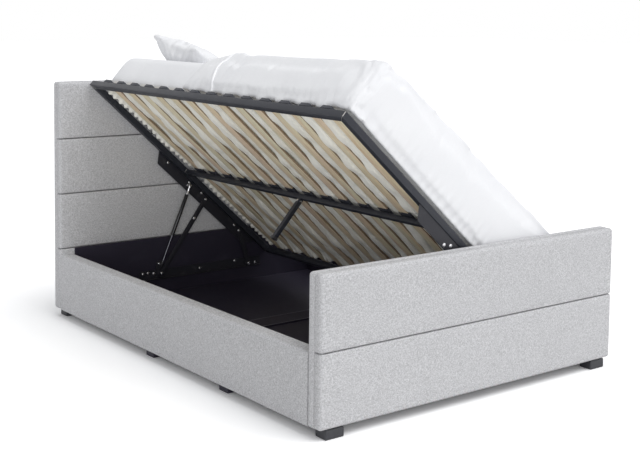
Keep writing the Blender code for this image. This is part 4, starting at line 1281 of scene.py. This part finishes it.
    def arm(self, end: End, node: str, body: Body, pivots: tuple[Flat, Flat], rivet_share: float) -> None:
        """Build one arm with its pressed rib and its rivet.

        Args:
            end: the end of the bed.
            node: the CAD node that it stands for.
            body: the body that it rides on.
            pivots: its lower and its upper pivot.
            rivet_share: how far up its length the rivet sits.
        """
        low, high = (Vector(pivot) for pivot in pivots)
        line, half = high - low, self.arm_width / 2
        corner, inset = half * self.arm_round_share, half * self.rib_inset_share
        arm = Form()
        arm.plate(rounded_box((-half, -half), (line.length + half, half), corner, corner, 8), 0,
                  self.arm_thickness, self.plate_edge)
        foot = self.arm_thickness if end is End.FOOT else -self.rib_rise
        arm.plate(rounded_box((inset, -self.rib_half), (line.length - inset, self.rib_half), self.rib_round,
                              self.rib_round), foot - self.rib_sink, foot + self.rib_rise + self.rib_sink,
                  self.rib_edge)
        start = self.span(end, self.arm_depth, self.arm_depth + self.arm_thickness)[0]
        angle = math.atan2(line.y, line.x)
        arm.turn(Matrix.Translation((low.x, start, low.y)) @ Matrix.Rotation(-angle, 4, "Y"))
        installed(arm.made(node + "_bar", self.finishes.arm_steel), body, [node])
        rivet = Form()
        self.bolt(rivet, self.at(end, low.lerp(high, rivet_share), self.arm_depth + self.arm_thickness),
                  Vector((0, end.inwards, 0)), self.rivet_swell)
        installed(rivet.made(node + "_rivet", self.finishes.zinc), body)

    def bracket(self, end: End) -> None:
        """Build the bracket under the deck's end tube, with its bolts, pins and strut stud.

        Args:
            end: the end of the bed.
        """
        node = f"lift_bracket_{end.label}"
        near, far, top, deep = self.bracket_near, self.bracket_far, self.bracket_top, self.bracket_deep
        near_slope, far_slope = self.bracket_slopes
        outline = ((near, -top), (far, -top), (far, -top - deep / 3), (far - far_slope, -top - deep),
                   (near + near_slope, -top - deep))
        back, front = self.bracket_depth, self.bracket_depth + self.wall
        plate = Form()
        plate.plate(rounded([(x, z, radius) for (x, z), radius in zip(outline, self.bracket_rounds)]),
                    *self.span(end, back, front), edge=self.plate_edge)
        self.plane.raised(plate, node + "_plate", self.finishes.arm_steel, nodes=[node])
        way = Vector((0, end.inwards, 0))
        bolts = Form()
        for along, down in self.bracket_bolt_shares:
            place = self.at(end, (near + along * (far - near), -(top + down * deep)), front)
            self.bolt(bolts, self.plane.matrix @ place, way)
        for along, down in self.stop_bolts:
            self.bolt(bolts, self.plane.matrix @ self.at(end, (along, -down), back), -way)
        pins = self.arm_depth + self.arm_thickness + HAIR
        for pivot in (self.a1, self.b1):
            self.pin(bolts, end, pivot, (front, pins), self.pin_radius)
            self.bolt(bolts, self.at(end, pivot, pins), way)
        self.stud(bolts, end, self.s1, front)
        installed(bolts.made(node + "_bolts", self.finishes.zinc), Body.DECK)

    def strut(self, end: End) -> None:
        """Build the gas strut: cylinder, rod and the socket at each end.

        Args:
            end: the end of the bed.
        """
        top, foot = self.at(end, self.s1, self.strut_depth), self.at(end, self.s0, self.strut_depth)
        length, down = (foot - top).length, (foot - top).normalized()
        eye = Vector((0, end.inwards * self.eye_half, 0))
        cylinder, upper, rod, lower = Form(), Form(), Form(), Form()
        cylinder.turned(self.cylinder_profile, top, down, self.cylinder_sides)
        upper.turned(self.upper_socket_profile, top, down)
        upper.barrel(top - eye, top + eye, self.eye_radius, self.bolt_sides, self.eye_edge)
        start, stop = self.rod_start, length - self.rod_short
        rod.turned([(0, start), (self.rod_radius - self.rod_chamfer, start),
                    (self.rod_radius, start + self.rod_chamfer), (self.rod_radius, stop), (0, stop)],
                   top, down)
        lower.turned([(radius, length + along) for radius, along in self.lower_socket_profile], top, down)
        lower.barrel(foot - eye, foot + eye, self.eye_radius, self.bolt_sides, self.eye_edge)
        node = f"strut_cylinder_{end.label}"
        installed(cylinder.made(node + "_body", self.finishes.enamel), Body.CYLINDERS, [node])
        installed(upper.made(node + "_socket", self.finishes.zinc), Body.CYLINDERS)
        node = f"strut_rod_{end.label}"
        installed(rod.made(node + "_shaft", self.finishes.rod), Body.RODS, [node])
        installed(lower.made(node + "_socket", self.finishes.arm_steel), Body.RODS)

    def build(self) -> None:
        """Build both ends' linkage."""
        for end in End:
            self.plates(end)
            self.arm(end, f"main_arm_{end.label}", Body.MAIN_ARMS, (self.a0, self.a1), self.main_rivet_share)
            self.arm(end, f"rear_arm_{end.label}", Body.REAR_ARMS, (self.b0, self.b1), 0.0)
            self.bracket(end)
            self.strut(end)


# Bedding


class SoftForm:
    """A stuffed piece grown from its CAD solid: merged, remeshed, inflated as cloth and creased."""

    frames: int = 20
    quality: int = 6
    mass: float = 0.2
    stiffness: float = 12.0
    bending: float = 0.25

    def __init__(self, node: str, name: str, plane: DeckPlane) -> None:
        """Copy the CAD solid's mesh into a new object and merge its loose triangles.

        Args:
            node: the CAD node.
            name: the piece's name.
            plane: the deck's directions, in which the form is shaped.
        """
        self.plane = plane
        self.node = node
        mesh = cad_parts[node].data.copy()
        mesh.name = name
        shape = bmesh.new()
        shape.from_mesh(mesh)
        bmesh.ops.remove_doubles(shape, verts=shape.verts, dist=SAME)
        bmesh.ops.recalc_face_normals(shape, faces=shape.faces)
        bmesh.ops.transform(shape, matrix=plane.inverse, verts=shape.verts)
        shape.to_mesh(mesh)
        shape.free()
        for attribute in [a.name for a in mesh.attributes if a.name.startswith("custom_normal")]:
            mesh.attributes.remove(mesh.attributes[attribute])
        self.item = linked(name, mesh)

    def apply(self) -> None:
        """Make the modifiers' result the piece's own mesh."""
        depsgraph = bpy.context.evaluated_depsgraph_get()
        mesh = bpy.data.meshes.new_from_object(self.item.evaluated_get(depsgraph))
        self.item.modifiers.clear()
        self.item.data = mesh

    def remesh(self, voxel: float, rounds: int) -> None:
        """Cover the form with an even mesh and smooth it.

        Args:
            voxel: the mesh's cell.
            rounds: how often it is smoothed.
        """
        remesh = self.item.modifiers.new("Even", "REMESH")
        remesh.mode = "VOXEL"
        remesh.voxel_size = voxel
        smooth = self.item.modifiers.new("Soft", "SMOOTH")
        smooth.factor = 0.5
        smooth.iterations = rounds
        self.apply()

    def move(self, shift: Callable[[Vector, Vector], Vector]) -> None:
        """Move each vertex, in the deck's directions.

        Args:
            shift: gives a vertex's way from its place and its normal.
        """
        normals = [v.normal.copy() for v in self.item.data.vertices]
        for vertex, normal in zip(self.item.data.vertices, normals):
            vertex.co += shift(vertex.co.copy(), normal)
        self.item.data.update()

    def inflate(self, pressure: float, slack: float, cap: float, held: Callable[[Vector], float]) -> None:
        """Blow the form up as cloth, and keep each point near its start.

        Args:
            pressure: the air's push.
            slack: extra fabric, as a share of its size.
            cap: the furthest that a point may move.
            held: from 0, free, to 1, pinned, at a place.
        """
        mesh = self.item.data
        before = [v.co.copy() for v in mesh.vertices]
        group = self.item.vertex_groups.new(name="held")
        for vertex in mesh.vertices:
            group.add([vertex.index], held(vertex.co), "REPLACE")
        cloth = self.item.modifiers.new("Cloth", "CLOTH")
        settings = cloth.settings
        settings.quality = self.quality
        settings.mass = self.mass
        settings.use_pressure = True
        settings.uniform_pressure_force = pressure
        settings.shrink_min = settings.shrink_max = -slack
        settings.tension_stiffness = settings.compression_stiffness = self.stiffness
        settings.bending_stiffness = self.bending
        settings.vertex_group_mass = "held"
        settings.pin_stiffness = 1.0
        settings.effector_weights.gravity = 0.0
        cloth.point_cache.frame_start = 1
        cloth.point_cache.frame_end = self.frames
        for step in range(1, self.frames + 1):
            bpy.context.scene.frame_set(step)
        self.apply()
        for vertex, start in zip(self.item.data.vertices, before):
            travel = vertex.co - start
            if travel.length > cap:
                vertex.co = start + travel.normalized() * cap
        self.item.vertex_groups.clear()
        bpy.context.scene.frame_set(1)

    def finish(self, material: bpy.types.Material, fill: float) -> bpy.types.Object:
        """Turn the piece back to its place, dress it and put it on the deck.

        Args:
            material: its finish.
            fill: how full its stuffing is; not used.

        Returns:
            The finished piece.
        """
        mesh = self.item.data
        mesh.transform(self.plane.matrix)
        mesh.materials.clear()
        mesh.materials.append(material)
        mesh.shade_smooth()
        installed(self.item, Body.DECK, [self.node])
        return self.item


@dataclass
class DeckLinen:
    """What lies on the slats: its CAD node's limits, and how it sinks between the rows."""

    finishes: Finishes
    plane: DeckPlane
    node: str = "mattress"
    slat_clear: float = 0.0295
    slat_run: float = 0.012
    rows: int = 14
    step: float = 0.002
    steps: int = 960
    rim: float = 0.035
    sink: float = 0.012

    def __post_init__(self) -> None:
        """Measure the node and find the slat rows' middles along the bed."""
        self.low, self.high = self.plane.limits(self.node)
        limits = [self.plane.limits(f"slat_row_{number}") for number in range(1, self.rows + 1)]
        self.centres = [(low.y + high.y) / 2 for low, high in limits]

    def off_slats(self, along: float) -> float:
        """How clear of the slats a place along the bed is, from 0 over a slat to 1 between two."""
        return eased((min(abs(along - centre) for centre in self.centres) - self.slat_clear) / self.slat_run)

    def droop(self, place: Vector, foot: bool) -> float:
        """Say how far the lower rim sinks between the slat caps and over the end tube.

        Args:
            place: a place in the deck's directions.
            foot: True to let it sink over the end tube too.

        Returns:
            The way down.
        """
        if place.z > self.low.z + self.rim:
            return 0.0
        start = self.plane.low.y
        step = min(self.steps - 1, max(0, round((place.y - start) / self.step)))
        near = eased(1 - (place.x - self.low.x) / self.rim) * self.off_slats(start + step * self.step)
        end = eased(1 - (place.y - self.low.y) / self.rim) if foot else 0.0
        return self.sink * max(near, end) * eased(1 - (place.z - self.low.z) / self.rim)


@dataclass
class Mattress(DeckLinen):
    """The mattress in its sheet, with the ticking of its underside."""

    voxel: float = 0.012
    streak: float = 0.0025
    lift: float = 0.0016
    lift_height: float = 0.03
    margin: float = 0.004
    ticking_rise: float = 0.0006
    ticking_cell: Flat = (0.0075, 0.0062)
    tube_clear: float = 0.0335
    rail_clear: float = 0.016
    end_clear: float = 0.020
    tube_run: float = 0.03
    end_run: float = 0.02
    row_seed: float = 5.3
    swell: Flat = (0.0125, 0.018)
    swell_cells: float = 5.2
    ripple: float = 0.008
    ripple_cells: Flat = (15.0, 12.0)
    least_swell: float = 0.003
    rim_calm_share: float = 0.6
    gather_rims: Flat = (0.11, 0.10)
    gather_depth: float = 0.024
    gather_floor_share: float = 0.25
    gather_turns: Flat = (190.0, 230.0)
    gather_cells: float = 14.0

    def creased(self, place: Vector, normal: Vector) -> Vector:
        """Crease the sheet's sides and let its rim sink.

        Args:
            place: a vertex's place.
            normal: its normal.

        Returns:
            The vertex's way.
        """
        streak = wander(place.x * 9, place.y * 9, place.z * 3) * self.streak * (1 - abs(normal.z))
        lift = self.lift if place.z < self.low.z + self.lift_height else 0.0
        return normal * streak + Vector((0, 0, lift - self.droop(place, False)))

    def gathers(self, along: float, turns: float, seed: float, row: int) -> float:
        """Uneven gathers along a rim, from 0 to 1."""
        return 0.5 + 0.5 * math.sin(along * turns + 2.5 * wander(along * self.gather_cells, seed, row))

    def bulge(self, place: Vector) -> Vector:
        """Let the ticking bulge between the slats, and gather it at its head and far rims.

        Args:
            place: a vertex's place.

        Returns:
            The vertex's way.
        """
        open_share = self.off_slats(place.y)
        if open_share <= 0:
            return STILL
        low, high = self.plane.low, self.plane.high
        near = min(range(self.rows), key=lambda row: abs(place.y - self.centres[row]))
        seed = (near + (0.5 if place.y > self.centres[near] else -0.5)) * self.row_seed
        tubes = min(place.x - low.x, high.x - place.x) - self.tube_clear
        ends = min(self.high.y - place.y, place.y - self.low.y) - self.end_clear
        middle = abs(place.x - (low.x + high.x) / 2) - self.rail_clear
        room = eased(tubes / self.tube_run) * eased(ends / self.end_run) * eased(middle / self.tube_run)
        swell = self.swell[0] + self.swell[1] * wander(place.x * self.swell_cells, seed, 0.3)
        swell += self.ripple * wander(place.x * self.ripple_cells[0], seed, place.y * self.ripple_cells[1])
        swell = max(self.least_swell, swell)
        to_head, to_far = self.high.y - place.y, self.high.x - place.x
        rim = max(eased(1 - to_head / self.gather_rims[0]), eased(1 - to_far / self.gather_rims[1]))
        if to_head < to_far:
            gather = self.gathers(place.x, self.gather_turns[0], seed, 1)
        else:
            gather = self.gathers(place.y, self.gather_turns[1], seed, 2)
        gather = self.gather_floor_share + (1 - self.gather_floor_share) * gather
        depth = swell * (1 - self.rim_calm_share * rim) + self.gather_depth * rim * gather
        return Vector((0, 0, -depth * open_share * room))

    def ticking(self) -> None:
        """Build the ticking under the mattress."""
        middle = (self.low + self.high) / 2
        size_x = self.high.x - self.low.x - 2 * self.margin
        size_y = self.high.y - self.low.y - 2 * self.margin
        place = Matrix.Translation((middle.x, middle.y, self.low.z + self.ticking_rise))
        form = Form()
        bmesh.ops.create_grid(form.mesh, x_segments=round(size_x / self.ticking_cell[0]),
                              y_segments=round(size_y / self.ticking_cell[1]), size=0.5,
                              matrix=place @ Matrix.Diagonal((size_x, size_y, 1, 1)))
        form.move(self.bulge)
        form.turn(self.plane.matrix)
        piece = form.made("mattress_ticking", self.finishes.ticking, 80)
        installed(piece, Body.DECK)

    def build(self) -> None:
        """Build the sheeted mattress and its ticking."""
        form = SoftForm(self.node, "sheeted_mattress", self.plane)
        form.remesh(self.voxel, 4)
        form.move(self.creased)
        form.finish(self.finishes.cotton, 0.95)
        self.ticking()


@dataclass
class Duvet(DeckLinen):
    """The duvet: puffed, gathered along its lower edges, its head end folded back, with a piped hem."""

    node: str = "duvet"
    voxel: float = 0.010
    squaring: float = 0.072
    squared_share: float = 0.6
    near_share: float = 0.25
    foot_loft: float = 0.040
    foot_run: float = 0.45
    near_loft_share: float = 0.35
    loft_from_share: float = 0.25
    loft_run_share: float = 0.5
    stuffed_to: float = -0.05
    stuffed_fade: float = 0.25
    under_normal: float = 0.2
    under_reach: float = 0.05
    pinned_height: float = 0.03
    pressure: float = 1.5
    slack: float = 0.004
    puff: float = 0.010
    pleat: float = 0.0026
    pleat_turns: float = 150.0
    side_pleat_share: float = 0.25
    crumple: float = 0.0030
    crumple_cells: Cells = (26.0, 26.0, 12.0)
    rim_share: float = 0.42
    gather: float = 0.0026
    gather_turns: float = 34.0
    gather_ring: Flat = (0.09, 0.13)
    roll: float = 0.0050
    roll_cells: float = 3.1
    side_roll_share: float = 0.4
    fine: float = 0.0016
    fine_cells: Flat = (9.0, 6.0)
    corner_fill: float = 0.25
    corner_reach: float = 0.17
    fold_rise: float = 0.022
    fold_from: float = 0.865
    fold_to: float = 1.13
    fold_fade: float = 0.06
    hem_low: float = 0.898
    hem_rise: float = 0.070
    hem_lift: float = 0.15
    hem_above: float = 0.010
    hem_radius: float = 0.0060
    hem_steps: int = 128

    def height(self, place: Vector) -> float:
        """A place's height as a share of the duvet's."""
        return (place.z - self.low.z) / (self.high.z - self.low.z)

    def inside(self, place: Vector, normal: Vector) -> bool:
        """Tell the duvet's lower face, which lies on the mattress, from the rest.

        Args:
            place: a vertex's place.
            normal: its normal.

        Returns:
            True on the lower face.
        """
        middle = (self.low + self.high) / 2
        out = (place.x - middle.x) * normal.x + (place.y - middle.y) * normal.y
        return normal.z < self.under_normal and out < self.under_reach

    def stuffed(self, place: Vector, normal: Vector) -> Vector:
        """Fill the solid's round edges, as the stuffing does, and loft the foot end.

        Args:
            place: a vertex's place.
            normal: its normal.

        Returns:
            The vertex's way.
        """
        fade = 1 - eased((place.y - self.stuffed_to) / self.stuffed_fade)
        if self.inside(place, normal) or fade <= 0:
            return STILL
        ways = (normal.x, min(normal.y, 0.0), max(normal.z, 0.0))
        push = Vector([math.copysign(eased(abs(way) / self.squared_share), way) - way if way else 0.0
                       for way in ways])
        push.x *= self.near_share if normal.x < 0 else 1.0
        at_foot = eased(1 - (place.y - self.low.y) / self.foot_run)
        across = (place.x - self.low.x) / (self.high.x - self.low.x)
        across = self.near_loft_share + (1 - self.near_loft_share) * across
        upper = eased((self.height(place) - self.loft_from_share) / self.loft_run_share)
        return (push * self.squaring + UP * (self.foot_loft * at_foot * across * upper)) * fade

    def pinned(self, place: Vector) -> float:
        """1 where the duvet lies on the deck, and 0 above."""
        return 1.0 if place.z < self.low.z + self.pinned_height else 0.0

    def crease_depth(self, place: Vector, normal: Vector) -> float:
        """Say how far pleats, gathers and creases push the cover out.

        Args:
            place: a vertex's place.
            normal: its normal.

        Returns:
            The way outwards.
        """
        height = self.height(place)
        toe = place.y < (self.low.y + self.high.y) / 2
        at_foot = eased((abs(normal.y) - 0.35) / 0.5) if toe else 0.0
        run = place.x if at_foot > 0.5 else place.y
        pleat = math.sin(run * self.pleat_turns + 5.0 * wander(run * 6, height * 2.2, 0.4))
        crumple = wander(*(part * cells for part, cells in zip(place, self.crumple_cells)))
        upwards = max(0.0, normal.z)
        rim = eased(1 - height / self.rim_share) * (1 - upwards)
        depth = (self.pleat * (pleat - 1) + self.crumple * (crumple - 0.6)) * rim
        depth *= self.side_pleat_share + (1 - self.side_pleat_share) * at_foot
        spot = Vector((place.x - self.low.x, place.y - self.low.y))
        ring, width = self.gather_ring
        gather = eased(1 - abs(spot.length - ring) / width)
        gather *= eased(height / 0.15) * (1 - eased((height - 0.75) / 0.25))
        turn = math.atan2(spot.y, spot.x)
        depth += self.gather * gather * (math.sin(turn * self.gather_turns + 5 * height) - 0.4)
        roll = wander(*(place * self.roll_cells + UP * 4.2)) * eased(height / 0.3)
        cells, lean = self.fine_cells
        fine = wander(place.x * cells + place.z * lean, place.y * cells, 1.7)
        depth += self.roll * roll * (self.side_roll_share + (1 - self.side_roll_share) * upwards)
        return depth + self.fine * fine * (1 - rim)

    def folded(self, place: Vector, normal: Vector) -> Vector:
        """Crease the cover, fill its near foot corner and raise its folded head end.

        Args:
            place: a vertex's place.
            normal: its normal.

        Returns:
            The vertex's way.
        """
        if self.inside(place, normal):
            return STILL
        corner = Vector((self.low.x, self.low.y, place.z)) - place
        fill = eased(1 - corner.length / self.corner_reach) * eased(1 - self.height(place) / 0.9)
        along = place.y - self.plane.low.y
        fold = eased((along - self.fold_from) / self.fold_fade)
        fold *= 1 - eased((along - self.fold_to) / self.fold_fade)
        return (normal * self.crease_depth(place, normal) + corner * (self.corner_fill * fill)
                + UP * (self.fold_rise * fold * max(0.0, normal.z)))

    def sunk(self, place: Vector, _normal: Vector) -> Vector:
        """The way down of the cover's rim between the slat caps."""
        return Vector((0, 0, -self.droop(place, True)))

    def hem_line(self, cover: bpy.types.Object) -> list[Vector]:
        """Find the hem's line over the cover, which climbs towards the head end as it rises.

        Args:
            cover: the finished duvet cover.

        Returns:
            Its points, in the deck's directions.
        """
        tree = BVHTree.FromObject(cover, bpy.context.evaluated_depsgraph_get())
        matrix, inverse = self.plane.matrix, self.plane.inverse
        middle, half = (self.low.x + self.high.x) / 2, (self.high.x - self.low.x) / 2
        path = []
        for step in range(self.hem_steps + 1):
            turn = math.pi * (step / self.hem_steps - 0.5)
            way = Vector((math.sin(turn), 0, math.cos(turn) * 0.9)).normalized()
            lift = 0.0
            for _round in range(3):
                along = self.plane.low.y + self.hem_low + self.hem_rise * min(1.0, lift / self.hem_lift)
                start = matrix @ (Vector((middle, along, self.low.z + self.hem_above)) + way * (half * 1.6))
                hit = tree.ray_cast(start, -(matrix.to_3x3() @ way))[0]
                lift = (inverse @ hit).z - self.low.z if hit is not None else 0.0
            if hit is not None:
                path.append(inverse @ hit)
        return path

    def hem(self, cover: bpy.types.Object) -> None:
        """Lay the duvet's piped hem across it, on the cover's own surface.

        Args:
            cover: the finished duvet cover.
        """
        path = self.hem_line(cover)
        curve = bpy.data.curves.new("hem_line", "CURVE")
        curve.dimensions = "3D"
        spline = curve.splines.new("POLY")
        spline.points.add(len(path) - 1)
        for point, place in zip(spline.points, path):
            point.co = (*place, 1)
        curve.bevel_depth = self.hem_radius
        curve.bevel_resolution = 3
        curve.use_fill_caps = True
        holder = linked("hem_line", curve)
        mesh = bpy.data.meshes.new_from_object(holder.evaluated_get(bpy.context.evaluated_depsgraph_get()))
        bpy.data.objects.remove(holder)
        mesh.transform(self.plane.matrix)
        mesh.materials.append(self.finishes.cotton)
        mesh.shade_smooth()
        piece = linked("duvet_hem", mesh)
        installed(piece, Body.DECK)

    def build(self) -> None:
        """Build the cover and its hem."""
        form = SoftForm(self.node, "duvet_cover", self.plane)
        form.remesh(self.voxel, 6)
        form.move(self.stuffed)
        form.remesh(self.voxel, 10)
        form.inflate(self.pressure, self.slack, self.puff, self.pinned)
        form.move(self.folded)
        form.move(self.sunk)
        self.hem(form.finish(self.finishes.cotton, 0.55))


@dataclass
class Pillows:
    """The two pillows, blown up as cloth from their solids."""

    finishes: Finishes
    plane: DeckPlane
    voxel: float = 0.007
    drawn_in: float = 0.003
    pressure: float = 3.0
    slack: float = 0.035
    puff: float = 0.014
    seam_share: float = 0.965
    crease: float = 0.0035
    pulls: float = 22.0

    def pillow(self, side: str) -> None:
        """Build one pillow.

        Args:
            side: near or far.
        """
        form = SoftForm(f"{side}_pillow", f"{side}_pillow_case", self.plane)
        form.remesh(self.voxel, 3)
        low, high = self.plane.limits(f"{side}_pillow")
        middle, half = (low + high) / 2, (high - low) / 2

        def shares(place: Vector) -> Flat:
            """A place across and along the pillow, as shares of its half size."""
            return (place.x - middle.x) / half.x, (place.y - middle.y) / half.y

        def held(place: Vector) -> float:
            """1 at the pillow's seam, and 0 inside it."""
            return 1.0 if max(abs(share) for share in shares(place)) > self.seam_share else 0.0

        def creased(place: Vector, normal: Vector) -> Vector:
            """Crease the case from its seam inwards, and crush it softly.

            Args:
                place: a vertex's place.
                normal: its normal.

            Returns:
                The vertex's way.
            """
            across, along = shares(place)
            rim = eased((max(abs(across), abs(along)) - 0.55) / 0.45)
            turn = math.atan2(along, across)
            pull = math.sin(turn * self.pulls + 3 * wander(across * 2, along * 2, 0.7))
            crush = wander(place.x * 12, place.y * 12, 2.2)
            return normal * (self.crease * (rim * (1 - rim * 0.6) * pull + crush))

        form.move(lambda place, normal: normal * -self.drawn_in)
        form.inflate(self.pressure, self.slack, self.puff, held)
        form.move(creased)
        form.finish(self.finishes.cotton, 0.7)

    def build(self) -> None:
        """Build the near and the far pillow."""
        self.pillow("near")
        self.pillow("far")


# Studio


@dataclass
class Studio:
    """White floor and background, soft lamps and the camera."""

    eye: Corner = (-3.115, -4.0747, 1.4491)
    yaw: float = math.radians(37.597)
    pitch: float = math.radians(-4.710)
    roll: float = math.radians(0.677)
    lens: float = 66.82
    sensor: float = 36.0
    shift_y: float = -0.1881
    sky: float = 0.52
    sky_colour: Colour = (0.97, 0.98, 1.0)
    floor_half: float = 40.0
    floor_colour: Colour = (0.86, 0.86, 0.86)
    floor_seen: Colour = (1.24, 1.24, 1.24)
    floor_glow: float = 0.02
    lamps: tuple[tuple[str, Corner, float, float], ...] = (
        ("key_lamp", (0.25, -0.40, 0.88), 1.58, 50.0), ("side_lamp", (-0.48, -0.87, 0.12), 1.00, 40.0))

    def seen(self, tree: bpy.types.NodeTree) -> Socket:
        """Make a value that is 1 for rays from the camera, from gloss and through glass.

        Args:
            tree: the node tree that takes it.

        Returns:
            The value.
        """
        path = tree.nodes.new("ShaderNodeLightPath")
        total = path.outputs["Is Camera Ray"]
        for name in ("Is Glossy Ray", "Is Transmission Ray"):
            add = tree.nodes.new("ShaderNodeMath")
            add.operation = "MAXIMUM"
            tree.links.new(total, add.inputs[0])
            tree.links.new(path.outputs[name], add.inputs[1])
            total = add.outputs[0]
        return total

    def shade(self, tree: bpy.types.NodeTree, kind: str, **inputs: object) -> Socket:
        """Add a shader node.

        Args:
            tree: the node tree that takes it.
            kind: its type without its ShaderNode prefix.
            inputs: its sockets' values.

        Returns:
            The node's output.
        """
        made = tree.nodes.new("ShaderNode" + kind)
        for key, value in inputs.items():
            made.inputs[key].default_value = value
        return made.outputs[0]

    def show(self, tree: bpy.types.NodeTree, output: str, light: Socket, shown: Socket) -> None:
        """Light the scene with one shader, and show another one to the camera and in gloss.

        Args:
            tree: the node tree.
            output: the name of its output node.
            light: the shader that lights.
            shown: the shader that is seen.
        """
        mix = tree.nodes.new("ShaderNodeMixShader")
        for index, socket in enumerate((self.seen(tree), light, shown)):
            tree.links.new(socket, mix.inputs[index])
        tree.links.new(mix.outputs[0], tree.nodes[output].inputs["Surface"])

    def world(self) -> None:
        """Hang an even sky that looks white."""
        world = bpy.data.worlds.new("studio_sky")
        bpy.context.scene.world = world
        world.use_nodes = True
        tree = world.node_tree
        sky = tree.nodes["Background"]
        sky.inputs["Color"].default_value = (*self.sky_colour, 1)
        sky.inputs["Strength"].default_value = self.sky
        white = self.shade(tree, "Background", Color=(1, 1, 1, 1))
        self.show(tree, "World Output", sky.outputs[0], white)

    def floor(self) -> None:
        """Lay a wide white floor that keeps the bed's shadow."""
        mesh = bpy.data.meshes.new("studio_floor")
        shape = bmesh.new()
        bmesh.ops.create_grid(shape, x_segments=1, y_segments=1, size=self.floor_half)
        shape.to_mesh(mesh)
        shape.free()
        floor = linked("studio_floor", mesh)
        material = bpy.data.materials.new("studio_floor")
        material.use_nodes = True
        tree = material.node_tree
        tree.nodes.remove(tree.nodes["Principled BSDF"])
        paint = self.shade(tree, "BsdfDiffuse", Color=(*self.floor_colour, 1))
        bright = self.shade(tree, "BsdfDiffuse", Color=(*self.floor_seen, 1))
        glow = self.shade(tree, "Emission", Strength=self.floor_glow)
        total = tree.nodes.new("ShaderNodeAddShader")
        tree.links.new(bright, total.inputs[0])
        tree.links.new(glow, total.inputs[1])
        self.show(tree, "Material Output", paint, total.outputs[0])
        mesh.materials.append(material)

    def lamp(self, name: str, towards: Corner, strength: float, spread: float) -> None:
        """Add a far soft lamp.

        Args:
            name: the lamp's name.
            towards: the way from the bed to the lamp.
            strength: its strength as a sun.
            spread: its apparent width in degrees.
        """
        light = bpy.data.lights.new(name, "SUN")
        light.energy = strength
        light.angle = math.radians(spread)
        lamp = linked(name, light)
        lamp.rotation_mode = "QUATERNION"
        lamp.rotation_quaternion = Vector(towards).to_track_quat("Z", "Y")

    def camera(self) -> None:
        """Stand the camera where the photograph was taken."""
        level = Vector((math.sin(self.yaw), math.cos(self.yaw), 0))
        forward = level * math.cos(self.pitch) + UP * math.sin(self.pitch)
        right = Vector((math.cos(self.yaw), -math.sin(self.yaw), 0))
        up = right.cross(forward)
        right, up = (right * math.cos(self.roll) + up * math.sin(self.roll),
                     up * math.cos(self.roll) - right * math.sin(self.roll))
        data = bpy.data.cameras.new("camera")
        data.lens = self.lens
        data.sensor_width = self.sensor
        data.shift_y = self.shift_y
        camera = linked("camera", data)
        rows = Matrix((right, up, -forward)).transposed().to_4x4()
        camera.matrix_world = Matrix.Translation(self.eye) @ rows
        bpy.context.scene.camera = camera

    def build(self) -> None:
        """Set up the whole studio."""
        bpy.context.scene.view_settings.view_transform = "Standard"
        self.camera()
        self.world()
        self.floor()
        for lamp in self.lamps:
            self.lamp(*lamp)


def main() -> None:
    """Build the studio and every sub-assembly."""
    logging.basicConfig(level=logging.INFO, format="%(message)s")
    Studio().build()
    finishes = Finishes()
    plane = DeckPlane()
    for built in (UpholsteredPads(finishes), SideRails(finishes), StorageBase(finishes),
                  DeckFrame(finishes, plane), SlatRows(finishes, plane), LiftLinkage(finishes, plane),
                  Mattress(finishes, plane), Duvet(finishes, plane), Pillows(finishes, plane)):
        built.build()


if __name__ == "__main__":
    main()
